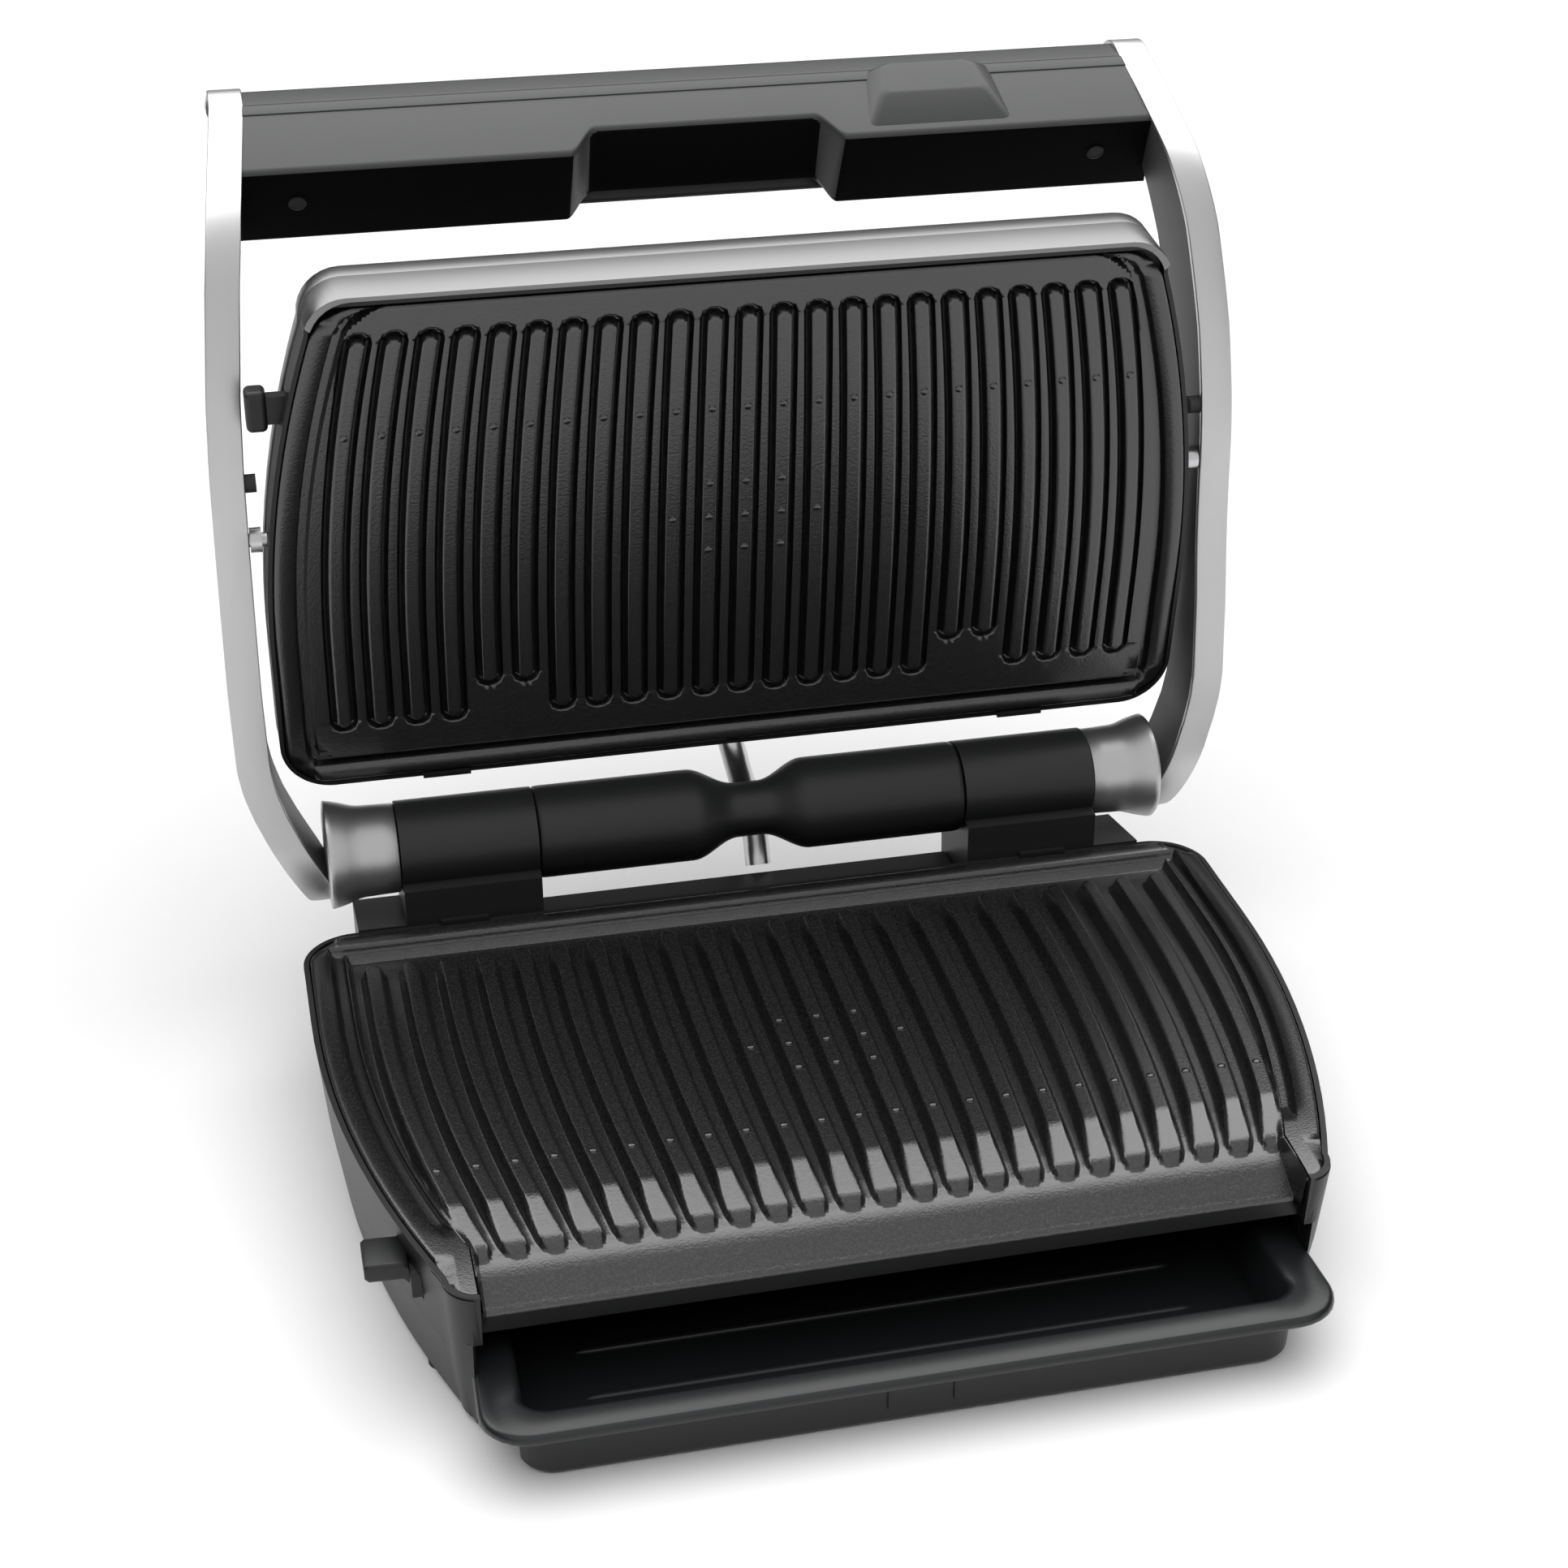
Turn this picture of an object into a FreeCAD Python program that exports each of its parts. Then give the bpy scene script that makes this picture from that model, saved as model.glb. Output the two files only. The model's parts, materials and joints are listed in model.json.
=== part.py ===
import FreeCAD, Part
import math
import os

V = FreeCAD.Vector
DOC = FreeCAD.newDocument("panini_press")

# ---------------------------------------------------------------- driving dimensions
SHEET = DOC.addObject("Spreadsheet::Sheet", "dims")
DIMENSIONS = {
    # plates and bodies, seen from above, measured from their rear edge
    "half_width": 213.0, "bow_start": 71.0, "bow_radius": 500.0, "rear_corner": 24.0, "front_corner": 14.0,
    "base_depth": 269.0, "upper_depth": 243.0, "plate_inset": 2.6,
    # ribs
    "rib_pitch": 16.65, "rib_bow_length": 494.0, "rib_foot": 12.0, "rib_top": 6.3, "rib_rise": 6.5,
    "rib_rear": 30.5, "lower_rib_front": 243.0, "upper_rib_front": 228.5, "short_rib_rear": 48.0,
    "rib_top_level": 73.8, "rim_drop": 1.8, "rim_thick": 6.0, "pan_thick": 5.0,
    # hinge
    "hinge_back": 102.0, "hinge_level": 99.0, "tube_radius": 21.5, "waist_radius": 12.9, "waist_half": 23.0,
    "shaft_radius": 6.0, "running_gap": 0.05, "sleeve_inner": 101.5, "sleeve_outer": 164.5, "hub_outer": 196.0,
    # base
    "base_rear": 77.0, "foot_rise": 4.0, "seam_level": 34.0, "base_top": 71.0, "wall": 3.0,
    "bay_half": 168.0, "bay_rear": -36.0, "bay_top": 47.0,
    # drip tray
    "tray_half": 157.0, "tray_front": -224.0, "tray_rear": -44.0, "tray_rim": 31.8, "tray_flange": 9.0,
    # upper body, leaning forward past the vertical when open
    "upper_lean": 7.9, "upper_rear_y": 118.9, "upper_rear_z": 123.4, "cover_depth": 52.0,
    # pivots of the upper body on the arms
    "pivot_y": 115.8, "pivot_z": 251.5, "pivot_radius": 3.0, "pivot_depth": 14.5,
    # cable conduit
    "conduit_radius": 6.2,
}
for row, (alias, value) in enumerate(DIMENSIONS.items(), start=1):
    SHEET.set("A%d" % row, alias.replace("_", " "))
    SHEET.set("B%d" % row, str(value))
    SHEET.setAlias("B%d" % row, alias)
DOC.recompute()


def dim(alias):
    """A driving dimension, read from the sheet."""
    return float(SHEET.get(alias))


NODES = {}


def node(name, obj):
    """Register an object of the document as a sub-part."""
    obj.Label = name
    NODES[name] = obj
    return obj


def feature(name, shape, placement=None):
    """A sub-part whose shape no primitive or body gives."""
    if shape.ShapeType in ("Compound", "CompSolid") and len(shape.Solids) == 1:
        shape = shape.Solids[0]
    obj = DOC.addObject("Part::Feature", name)
    obj.Shape = shape
    if placement is not None:
        obj.Placement = placement
    return node(name, obj)


# ---------------------------------------------------------------- plain shape helpers
def block(x0, x1, y0, y1, z0, z1):
    return Part.makeBox(x1 - x0, y1 - y0, z1 - z0, V(x0, y0, z0))


def rod(radius, start, end):
    """A round bar from one point to another."""
    way = V(*end) - V(*start)
    return Part.makeCylinder(radius, way.Length, V(*start), way)


def line(a, b):
    return Part.makeLine(V(*a), V(*b))


def arc(a, b, c):
    """An arc through three points, or a straight edge where they lie in line."""
    start, middle, end = V(*a), V(*b), V(*c)
    if (middle - start).cross(end - middle).Length < 1e-6:
        return Part.makeLine(start, end)
    return Part.Arc(start, middle, end).toShape()


def prism(points, axis_vector):
    """A closed outline of straight sides, drawn out along a vector."""
    ring = [V(*p) for p in points]
    return Part.Face(Part.makePolygon(ring + [ring[0]])).extrude(V(*axis_vector))


def side_profile(points, half):
    """An outline in Y and Z, drawn out across the width from -half to half."""
    return prism([(-half, y, z) for y, z in points], (2 * half, 0, 0))


def mirrored(shape):
    """The left-hand twin of a right-hand shape."""
    return shape.mirror(V(0, 0, 0), V(1, 0, 0))


def tube_path(points, radius):
    """A round tube along straight runs joined by tangent arcs."""
    ring = [V(*p) for p in points]
    edges = []
    start = ring[0]
    for before, corner, after in zip(ring, ring[1:], ring[2:]):
        into = (corner - before).normalize()
        out = (after - corner).normalize()
        turn = into.getAngle(out)
        shorter = min((corner - before).Length, (after - corner).Length)
        setback = 0.45 * shorter
        bend = setback / math.tan(turn / 2.0)
        a = corner - into * setback
        b = corner + out * setback
        inward = (out - into).normalize()
        mid = corner + inward * (bend / math.cos(turn / 2.0) - bend)
        edges.append(Part.LineSegment(start, a).toShape())
        edges.append(Part.Arc(a, mid, b).toShape())
        start = b
    edges.append(Part.LineSegment(start, ring[-1]).toShape())
    path = Part.Wire(edges)
    section = Part.Wire(Part.makeCircle(radius, ring[0], ring[1] - ring[0]))
    return path.makePipeShell([section], True, True)


# ---------------------------------------------------------------- the bowed outline of both bodies
def outline(inset, depth, level):
    """The body outline seen from above: rear edge on y = 0, front edge on y = -depth, sides that
    run straight and then bow inward towards the front."""
    half = dim("half_width") - inset
    bow = dim("bow_radius") - inset
    rear_r = max(dim("rear_corner") - inset, 3.0)
    front_r = max(dim("front_corner") - inset / 2.0, 3.0)
    rear = -inset
    front = -depth + inset
    start = -dim("bow_start")

    def side(y):
        run = max(start - y, 0.0)
        return half - (bow - math.sqrt(bow * bow - run * run))

    corner_y = front + front_r
    corner_x = side(corner_y)
    flat_x = corner_x - front_r * 1.15
    k = math.sqrt(0.5)
    mid_y = (start + corner_y) / 2.0
    nose = (corner_x - front_r * 0.28, front + front_r * 0.32)
    edges = [
        line((-half + rear_r, rear, level), (half - rear_r, rear, level)),
        arc((half - rear_r, rear, level), (half - rear_r * (1 - k), rear - rear_r * (1 - k), level),
            (half, rear - rear_r, level)),
        line((half, rear - rear_r, level), (half, start, level)),
        arc((half, start, level), (side(mid_y), mid_y, level), (corner_x, corner_y, level)),
        arc((corner_x, corner_y, level), (nose[0], nose[1], level), (flat_x, front, level)),
        line((flat_x, front, level), (-flat_x, front, level)),
        arc((-flat_x, front, level), (-nose[0], nose[1], level), (-corner_x, corner_y, level)),
        arc((-corner_x, corner_y, level), (-side(mid_y), mid_y, level), (-half, start, level)),
        line((-half, start, level), (-half, rear - rear_r, level)),
        arc((-half, rear - rear_r, level), (-half + rear_r * (1 - k), rear - rear_r * (1 - k), level),
            (-half + rear_r, rear, level)),
    ]
    return Part.Wire(edges)


def slab(inset, depth, low, high):
    """A flat slab of the body outline."""
    return Part.Face(outline(inset, depth, low)).extrude(V(0, 0, high - low))


def drafted(inset_low, inset_high, depth, low, high):
    """A solid of the body outline whose inset changes with height."""
    return Part.makeLoft([outline(inset_low, depth, low), outline(inset_high, depth, high)], True, True)


# ---------------------------------------------------------------- ribs
def rib_x(index, y):
    """The middle of a rib at a distance behind or before the plate's rear edge."""
    run = max(-dim("bow_start") - y, 0.0)
    return index * dim("rib_pitch") * (1.0 - (run / dim("rib_bow_length")) ** 2)


def rib_wire(index, width, rear, front, level):
    half = width / 2.0
    start = -dim("bow_start")
    middle = (start + front) / 2.0

    def point(side, y):
        return (rib_x(index, y) + side * half, y, level)

    return Part.Wire([
        line(point(-1, rear), point(-1, start)),
        arc(point(-1, start), point(-1, middle), point(-1, front)),
        arc(point(-1, front), (rib_x(index, front), front - half, level), point(1, front)),
        arc(point(1, front), point(1, middle), point(1, start)),
        line(point(1, start), point(1, rear)),
        arc(point(1, rear), (rib_x(index, rear), rear + half, level), point(-1, rear)),
    ])


def rib(index, rear, front, foot_level):
    """One flat-topped rib with sloping sides and round ends."""
    foot = dim("rib_foot")
    top = dim("rib_top")
    low = rib_wire(index, foot, -rear - foot / 2.0, -front + foot / 2.0, foot_level)
    high = rib_wire(index, top, -rear - foot / 2.0, -front + foot / 2.0, foot_level + dim("rib_rise"))
    return Part.makeLoft([low, high], True, True)


RIBS_EACH_SIDE = 11
SHORT_RIBS = (6, 7)


def cooking_plate(depth, rib_front):
    """A cast plate in its own frame: rib tops at z = 0, rear edge of the body on y = 0."""
    floor_level = -dim("rib_rise")
    rim_top = -dim("rim_drop")
    rim_low = rim_top - dim("rim_thick")
    pan_low = floor_level - dim("pan_thick")
    inset = dim("plate_inset")
    plate = slab(inset, depth, rim_low, rim_top)
    plate = plate.fuse(slab(inset + 16.5, depth, pan_low, rim_low))
    plate = plate.cut(slab(inset + 14.0, depth, floor_level, 5.0))
    ribs = []
    for index in range(-RIBS_EACH_SIDE, RIBS_EACH_SIDE + 1):
        rear = dim("rib_rear")
        if abs(index) in SHORT_RIBS:
            rear = dim("short_rib_rear")
        ribs.append(rib(index, rear, rib_front, floor_level))
    return plate.fuse(ribs).removeSplitter()


# ---------------------------------------------------------------- base
BASE = FreeCAD.Placement(V(0, dim("base_rear"), 0), FreeCAD.Rotation())
depth = dim("base_depth")
wall = dim("wall")
seam = dim("seam_level")
top = dim("base_top")
front_y = dim("base_rear") - depth
lip_half = 165.0
lip_low = 56.5
lip_face = front_y + 9.0


def placed(shape, placement):
    out = shape.copy()
    out.Placement = placement
    return out


bay = block(-dim("bay_half"), dim("bay_half"), front_y - 20, dim("bay_rear"), -1, dim("bay_top"))
bay_box = block(-dim("bay_half") - wall, dim("bay_half") + wall, front_y + 12.5, dim("bay_rear") + wall,
                dim("foot_rise"), dim("bay_top") + wall)

upper_shell = drafted(3.0, 0.0, depth, seam, top)
upper_shell = upper_shell.cut(drafted(3.0 + wall, 4.0, depth, seam - 0.01, 61.5))
upper_shell = upper_shell.cut(slab(18.0, depth, 61.0, 66.0))
upper_shell = upper_shell.cut(slab(2.3, depth, 65.6, 80.0))
upper_shell = placed(upper_shell, BASE)
notch = block(-lip_half, lip_half, front_y - 5, front_y + 30.5, lip_low, 90)
recess = block(-lip_half, lip_half, front_y - 5, lip_face, seam - 1, 90)
front_bar = block(-lip_half - 0.5, lip_half + 0.5, lip_face, lip_face + wall, dim("bay_top"), lip_low)
latch_hole = block(-210, -150, -157, -134, 45.5, 58.5)
inside = placed(slab(1.0, depth, 40.0, 62.0), BASE)
cheeks = [block(min(side * 165, side * 170), max(side * 165, side * 170), front_y + 2, lip_face + wall,
                dim("bay_top"), 62).common(inside) for side in (1, -1)]
upper_shell = upper_shell.cut([notch, recess, bay]).fuse([front_bar] + cheeks)
upper_shell = upper_shell.cut([bay_box, latch_hole])
feature("base_upper_shell", upper_shell)

lower_outer = drafted(7.0, 3.0, depth, dim("foot_rise"), seam)
legs = [block(side * 179 - 11.5, side * 179 + 11.5, -depth - 1, -depth + 26, 0, 90) for side in (1, -1)]
lower_legs = [lower_outer.common(leg) for leg in legs]
lower_shell = lower_outer.cut(drafted(7.0 + wall, 3.0 + wall, depth, dim("foot_rise") + wall, seam + 0.01))
lower_shell = placed(lower_shell.fuse(lower_legs), BASE).cut(block(-lip_half, lip_half, front_y - 5, lip_face, 0, 90))
lower_shell = lower_shell.fuse(bay_box).cut(bay)
feature("base_lower_shell", lower_shell)

feet = []
for x, y in ((-177.5, -140.0), (177.5, -140.0), (-133.0, 100.0), (133.0, 100.0)):
    feet.append(rod(5.5, (x, y, 0), (x, y, dim("foot_rise"))))
feature("rubber_feet", Part.makeCompound(feet))

screws = []
for x in (-120.0, 120.0):
    screws.append(rod(2.0, (x, 30, dim("foot_rise") + wall), (x, 30, 50)))
    screws.append(rod(3.5, (x, 30, dim("foot_rise") + wall), (x, 30, dim("foot_rise") + wall + 2.5)))
pairs = [screws[0].fuse(screws[1]), screws[2].fuse(screws[3])]
feature("base_screws", Part.makeCompound(pairs))


def reflector(depth, low):
    """A thin heat shield tray below a plate."""
    dish = slab(24.0, depth, low, low + 6.0)
    return dish.cut(slab(25.0, depth, low + 0.8, low + 7.0))


def heating_element(depth, level, leads):
    """A round tubular heater bent into a U below the plate, with its two cold ends."""
    rear = -46.0
    front = -depth + 62.0
    legs = 118.0
    points = [(-legs, rear, level), (-legs, front, level), (legs, front, level), (legs, rear, level)]
    return tube_path(points, 3.4)


feature("lower_reflector", placed(reflector(depth, 53.5), BASE))
feature("lower_heating_element", placed(heating_element(depth, 58.2, 0), BASE))
terminal = block(-60, -10, 35, 55, 8, 22).fuse(block(-55, -15, 39, 51, 22, 26))
feature("terminal_block", terminal)
feature("thermal_fuse", rod(4.0, (20, 40, 12), (55, 40, 12)).fuse(rod(0.8, (12, 40, 12), (63, 40, 12))))
feature("lower_thermostat", rod(9.0, (0, -60, 51.5), (0, -60, 53.4)).fuse(rod(6.0, (0, -60, 51.0), (0, -60, 53.0))))

# rear brackets that carry the hinge sleeves
hinge_y = dim("hinge_back")
hinge_z = dim("hinge_level")
sleeve_a = dim("sleeve_inner")
sleeve_b = dim("sleeve_outer")
tube_r = dim("tube_radius")
bore_r = dim("shaft_radius") + dim("running_gap")


def bracket():
    """A right-hand bracket: a sleeve round the shaft on a web that comes down behind the base."""
    sleeve = rod(tube_r, (sleeve_a, hinge_y, hinge_z), (sleeve_b, hinge_y, hinge_z))
    web_y0 = dim("base_rear") + 0.05
    stretched = prism([(sleeve_a, web_y0, dim("foot_rise")), (sleeve_a, web_y0, hinge_z - 10),
                       (sleeve_a, hinge_y - tube_r * 0.8, hinge_z - 8), (sleeve_a, hinge_y, hinge_z),
                       (sleeve_a, hinge_y + tube_r - 0.3, hinge_z), (sleeve_a, hinge_y + tube_r - 4, 34),
                       (sleeve_a, hinge_y + 12, dim("foot_rise"))], (sleeve_b - sleeve_a, 0, 0))
    flank = prism([(sleeve_b, web_y0, 24), (sleeve_b, web_y0, 72), (sleeve_b, hinge_y + 16, 64),
                   (sleeve_b, hinge_y + 10, 30), (sleeve_b, hinge_y + 4, 20)], (22, 0, 0))
    body = sleeve.fuse([stretched, flank])
    return body.cut(rod(bore_r, (sleeve_a - 5, hinge_y, hinge_z), (sleeve_b + 30, hinge_y, hinge_z)))


right_bracket = bracket()
feature("hinge_bracket_right", right_bracket)
feature("hinge_bracket_left", mirrored(right_bracket))

rear_cover = block(-sleeve_a + 0.3, sleeve_a - 0.3, dim("base_rear") + 0.05, hinge_y + 12, 20, 56)
rear_cover = rear_cover.cut(block(-sleeve_a + 3, sleeve_a - 3, dim("base_rear"), hinge_y + 9, 23, 53))
feature("rear_bridge_cover", rear_cover)
gland = rod(9.0, (-60, hinge_y + 12, 38), (-60, hinge_y + 15, 38)).cut(
    rod(4.0, (-60, hinge_y + 5, 38), (-60, hinge_y + 40, 38)))
feature("mains_gland", gland)

# ---------------------------------------------------------------- lower plate with its drip lip
lower = cooking_plate(depth, dim("lower_rib_front"))
lip_y = -depth + 8.5
lip_cut = block(-lip_half + 0.4, lip_half - 0.4, -depth - 5, lip_y + 20, -40, 20)
lower = lower.cut(lip_cut)
apron_edges = [
    line((0, lip_y + 21, -6.5), (0, lip_y + 20, -6.5)),
    arc((0, lip_y + 20, -6.5), (0, lip_y + 8, -9.3), (0, lip_y, -16.0)),
    line((0, lip_y, -16.0), (0, lip_y + 2.2, -16.8)),
    arc((0, lip_y + 2.2, -16.8), (0, lip_y + 9.5, -12.2), (0, lip_y + 20, -9.5)),
    line((0, lip_y + 20, -9.5), (0, lip_y + 21, -9.5)),
    line((0, lip_y + 21, -9.5), (0, lip_y + 21, -6.5)),
]
apron_half = 163.0
apron = Part.Face(Part.Wire(apron_edges)).extrude(V(apron_half, 0, 0))
apron = apron.fuse(mirrored(apron))
fence = prism([(apron_half - 1.0, lip_y, -15), (apron_half - 1.0, lip_y + 16, -5), (apron_half - 1.0, lip_y + 26, -2.2),
               (apron_half - 1.0, lip_y + 26, -8), (apron_half - 1.0, lip_y + 20, -9), (apron_half - 1.0, lip_y + 2, -16.6)],
              (1.6, 0, 0))
tips = [rib(i, dim("lower_rib_front") - 40, dim("lower_rib_front"), -6.5) for i in range(-11, 12)]
keep = block(-lip_half + 0.6, lip_half - 0.6, lip_y + 4, lip_y + 21, -12, 0.5)
tips = [tip.common(keep) for tip in tips]
lower = lower.fuse([apron, fence, mirrored(fence)] + tips)
PLATE_LOWER = FreeCAD.Placement(V(0, dim("base_rear"), dim("rib_top_level")), FreeCAD.Rotation())
feature("lower_plate", lower, PLATE_LOWER)

hooks = [block(side * 138 - 11, side * 138 + 11, dim("base_rear") - 2.3, dim("base_rear"), 71.05, 73.4)
         for side in (1, -1)]
feature("base_plate_hooks", Part.makeCompound(hooks))

# ---------------------------------------------------------------- drip tray
tray_half = dim("tray_half")
tray_f = dim("tray_front")
tray_b = dim("tray_rear")
rim_z = dim("tray_rim")
flange = dim("tray_flange")
tray_low = 0.4


def rounded_box(half, y0, y1, z0, z1, radius):
    """A box with round upright corners."""
    body = block(-half, half, y0, y1, z0, z1)
    upright = [e for e in body.Edges if abs(e.tangentAt(e.FirstParameter).z) > 0.9]
    return body.makeFillet(radius, upright)


tray = rounded_box(tray_half + flange, tray_f - 4, tray_b, rim_z - 4, rim_z, 17.0)
tray = tray.fuse(rounded_box(tray_half - 6, tray_f + 8, tray_b - flange, tray_low, rim_z - 3, 13.0))
tray = tray.cut(rounded_box(tray_half - 8, tray_f + 12, tray_b - flange - 2, tray_low + 2, rim_z + 1, 12.0))
beads = [block(-120, 120, y - 1.5, y + 1.5, tray_low + 1.9, tray_low + 3.5) for y in (tray_f + 50, tray_f + 80)]
feature("drip_tray", tray.fuse(beads))

# ---------------------------------------------------------------- release buttons


def release_button(push_x, y, z, width):
    """A push button on the left side: a rounded cap on a flat stem."""
    cap = block(push_x, push_x + 9, y - width / 2, y + width / 2, z - 5, z + 5)
    cap = cap.makeFillet(2.5, [e for e in cap.Edges])
    stem = block(push_x + 6, push_x + 30, y - width / 2 + 3, y + width / 2 - 3, z - 1.8, z + 3)
    return cap.fuse(stem)


def coil_spring(start, end):
    """A small coil spring between two points on a line along X."""
    radius = 1.2
    length = abs(end - start)
    helix = Part.makeHelix(length / 5.0, length, radius)
    section = Part.Wire(Part.makeCircle(0.3, V(radius, 0, 0), V(0, 1, 0)))
    return Part.Wire(helix).makePipeShell([section], True, True)


def laid_along_x(shape, at):
    shape = shape.copy()
    shape.Placement = FreeCAD.Placement(V(*at), FreeCAD.Rotation(V(0, 1, 0), 90))
    return shape


feature("lower_release_button", release_button(-203.0, -145.5, 52, 19.0))
feature("lower_button_spring", laid_along_x(coil_spring(0, 8), (-169.0, -145.5, 51.8)))


# ---------------------------------------------------------------- arms, hubs, tube and shaft
def smooth(points):
    """A smooth edge through a few points."""
    spline = Part.BSplineCurve()
    spline.interpolate([V(*p) for p in points])
    return spline.toShape()


def arm():
    """The right-hand arm: its side outline, cut to the bow that it has seen from the front."""
    y = hinge_y
    front_pts = [(0, 211, 416), (0, 149, 386), (0, 126, 345), (0, 117, 265), (0, 104, 165), (0, 94, 128)]
    rear_pts = [(0, y + 21, 104), (0, 141, 180), (0, 153, 265), (0, 163, 330), (0, 190, 376), (0, 229, 396)]
    edges = [
        smooth(front_pts),
        arc((0, 94, 128), (0, y - 21, 100), (0, y - 4, hinge_z - 22)),
        arc((0, y - 4, hinge_z - 22), (0, y + 16, hinge_z - 14), (0, y + 21, 104)),
        smooth(rear_pts),
        line((0, 229, 396), (0, 222, 417)),
        line((0, 222, 417), (0, 211, 416)),
    ]
    side = Part.Face(Part.Wire(edges)).extrude(V(300, 0, 0))
    inner = [(199.5, 0, 425), (206, 0, 388), (213, 0, 345), (217.5, 0, 253), (218, 0, 165), (211, 0, 128),
             (196, 0, 92), (190, 0, 70)]
    outer = [(x + 14.5, 0, z) for x, _, z in inner]
    ring = [smooth(inner), line(inner[-1], outer[-1]), smooth(outer[::-1]), line(outer[0], inner[0])]
    front = Part.Face(Part.Wire(ring)).extrude(V(0, 400, 0))
    return side.common(front)


right_arm = arm()
hub_profile = Part.Wire([
    line((sleeve_b + 0.5, 0, 0), (sleeve_b + 0.5, 0, tube_r - 1.2)),
    line((sleeve_b + 0.5, 0, tube_r - 1.2), (sleeve_b + 22, 0, tube_r - 0.5)),
    arc((sleeve_b + 22, 0, tube_r - 0.5), (sleeve_b + 27, 0, tube_r + 0.6), (sleeve_b + 30, 0, tube_r + 3)),
    line((sleeve_b + 30, 0, tube_r + 3), (sleeve_b + 36, 0, 0)),
    line((sleeve_b + 36, 0, 0), (sleeve_b + 0.5, 0, 0)),
])
hub = Part.Face(hub_profile).revolve(V(0, 0, 0), V(1, 0, 0), 360)
hub.translate(V(0, hinge_y, hinge_z))
hub = hub.cut(right_arm)
hub = max(hub.Solids, key=lambda solid: solid.Volume)
shaft_hole = rod(dim("shaft_radius"), (0, hinge_y, hinge_z), (230, hinge_y, hinge_z))
hub = hub.cut(shaft_hole)
right_arm = right_arm.cut(shaft_hole)
pin_hole = rod(dim("pivot_radius"), (190, dim("pivot_y"), dim("pivot_z")), (228, dim("pivot_y"), dim("pivot_z")))
collar_hole = rod(5.5, (190, dim("pivot_y"), dim("pivot_z")), (216.5, dim("pivot_y"), dim("pivot_z")))
stop_hole = rod(4.0, (190, dim("pivot_y") + 1, dim("pivot_z") + 26), (224, dim("pivot_y") + 1, dim("pivot_z") + 26))
right_arm_full = right_arm.cut([pin_hole, collar_hole, stop_hole])
feature("arm_right", right_arm_full)
feature("arm_left", mirrored(right_arm_full))
feature("hub_right", hub)
feature("hub_left", mirrored(hub))

shaft = DOC.addObject("Part::Cylinder", "hinge_shaft")
shaft.setExpression("Radius", "dims.shaft_radius")
shaft.setExpression("Height", "2 * dims.hub_outer")
shaft.Placement = FreeCAD.Placement(V(-dim("hub_outer"), hinge_y, hinge_z), FreeCAD.Rotation(V(0, 1, 0), 90))
node("hinge_shaft", shaft)

tube_end = sleeve_a - 0.5
waist = dim("waist_half")
tube_profile = Part.Wire([
    line((-tube_end, 0, 0), (-tube_end, 0, tube_r)),
    line((-tube_end, 0, tube_r), (-waist, 0, tube_r)),
    arc((-waist, 0, tube_r), (0, 0, dim("waist_radius")), (waist, 0, tube_r)),
    line((waist, 0, tube_r), (tube_end, 0, tube_r)),
    line((tube_end, 0, tube_r), (tube_end, 0, 0)),
    line((tube_end, 0, 0), (-tube_end, 0, 0)),
])
tube = Part.Face(tube_profile).revolve(V(0, 0, 0), V(1, 0, 0), 360)
tube.translate(V(0, hinge_y, hinge_z))
feature("hinge_tube", tube.cut(rod(dim("shaft_radius"), (-200, hinge_y, hinge_z), (200, hinge_y, hinge_z))))

# ---------------------------------------------------------------- handle between the arms
A = (201.3, 416.8)
B = (167.5, 397.0)
C = (189.0, 360.5)
D = (222.0, 375.0)
E = (231.0, 405.0)
F = (219.0, 420.0)


def inset_outline(points, amount):
    """The outline moved inward by an amount, towards its middle."""
    cy = sum(p[0] for p in points) / len(points)
    cz = sum(p[1] for p in points) / len(points)
    out = []
    for y, z in points:
        reach = math.hypot(y - cy, z - cz)
        out.append((cy + (y - cy) * (1 - amount / reach), cz + (z - cz) * (1 - amount / reach)))
    return out


arms_both = [right_arm, mirrored(right_arm)]
bar = side_profile([A, B, C], 208).cut(arms_both)
inner_cover = max(bar.Solids, key=lambda solid: solid.Volume)
hollow = side_profile(inset_outline([A, B, C], 6.0), 190).cut(block(-75, 75, 0, 400, 0, 500))

# the finger recess in the middle of the lower face
along = V(0, C[0] - B[0], C[1] - B[1]).normalize()
inward = V(0, -along.z, along.y)
face_mid = V(0, (B[0] + C[0]) / 2.0, (B[1] + C[1]) / 2.0)


def on_lower_face(x, into, up):
    return tuple(face_mid + V(x, 0, 0) + inward * into - along * up)


recess_depth = 13.5
recess_outline = [on_lower_face(-62, -1, -40), on_lower_face(62, -1, -40),
                  on_lower_face(50, recess_depth, -40), on_lower_face(-50, recess_depth, -40)]
recess = prism(recess_outline, tuple(along * -80))
SCREW_PLACES = (-180.0, -38.0, 38.0, 180.0)
inner_cover = inner_cover.cut([hollow, recess])
handle_screws = []
for x in SCREW_PLACES:
    into, up = (0.0, -4.0) if abs(x) > 100 else (recess_depth, 7.0)
    well = rod(3.6, on_lower_face(x, into - 0.5, up), on_lower_face(x, into + 3.0, up))
    inner_cover = inner_cover.cut(well)
    handle_screws.append(rod(3.3, on_lower_face(x, into + 1.4, up), on_lower_face(x, into + 3.0, up)))
feature("handle_inner_cover", inner_cover)
feature("handle_screws", Part.makeCompound(handle_screws))
fascia = side_profile([A, C, D, E, F], 208).cut(arms_both)
fascia = max(fascia.Solids, key=lambda solid: solid.Volume)
cavity_points = inset_outline([A, C, D, E, F], 6.5)
fascia = fascia.cut(side_profile(cavity_points, 190))

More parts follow.
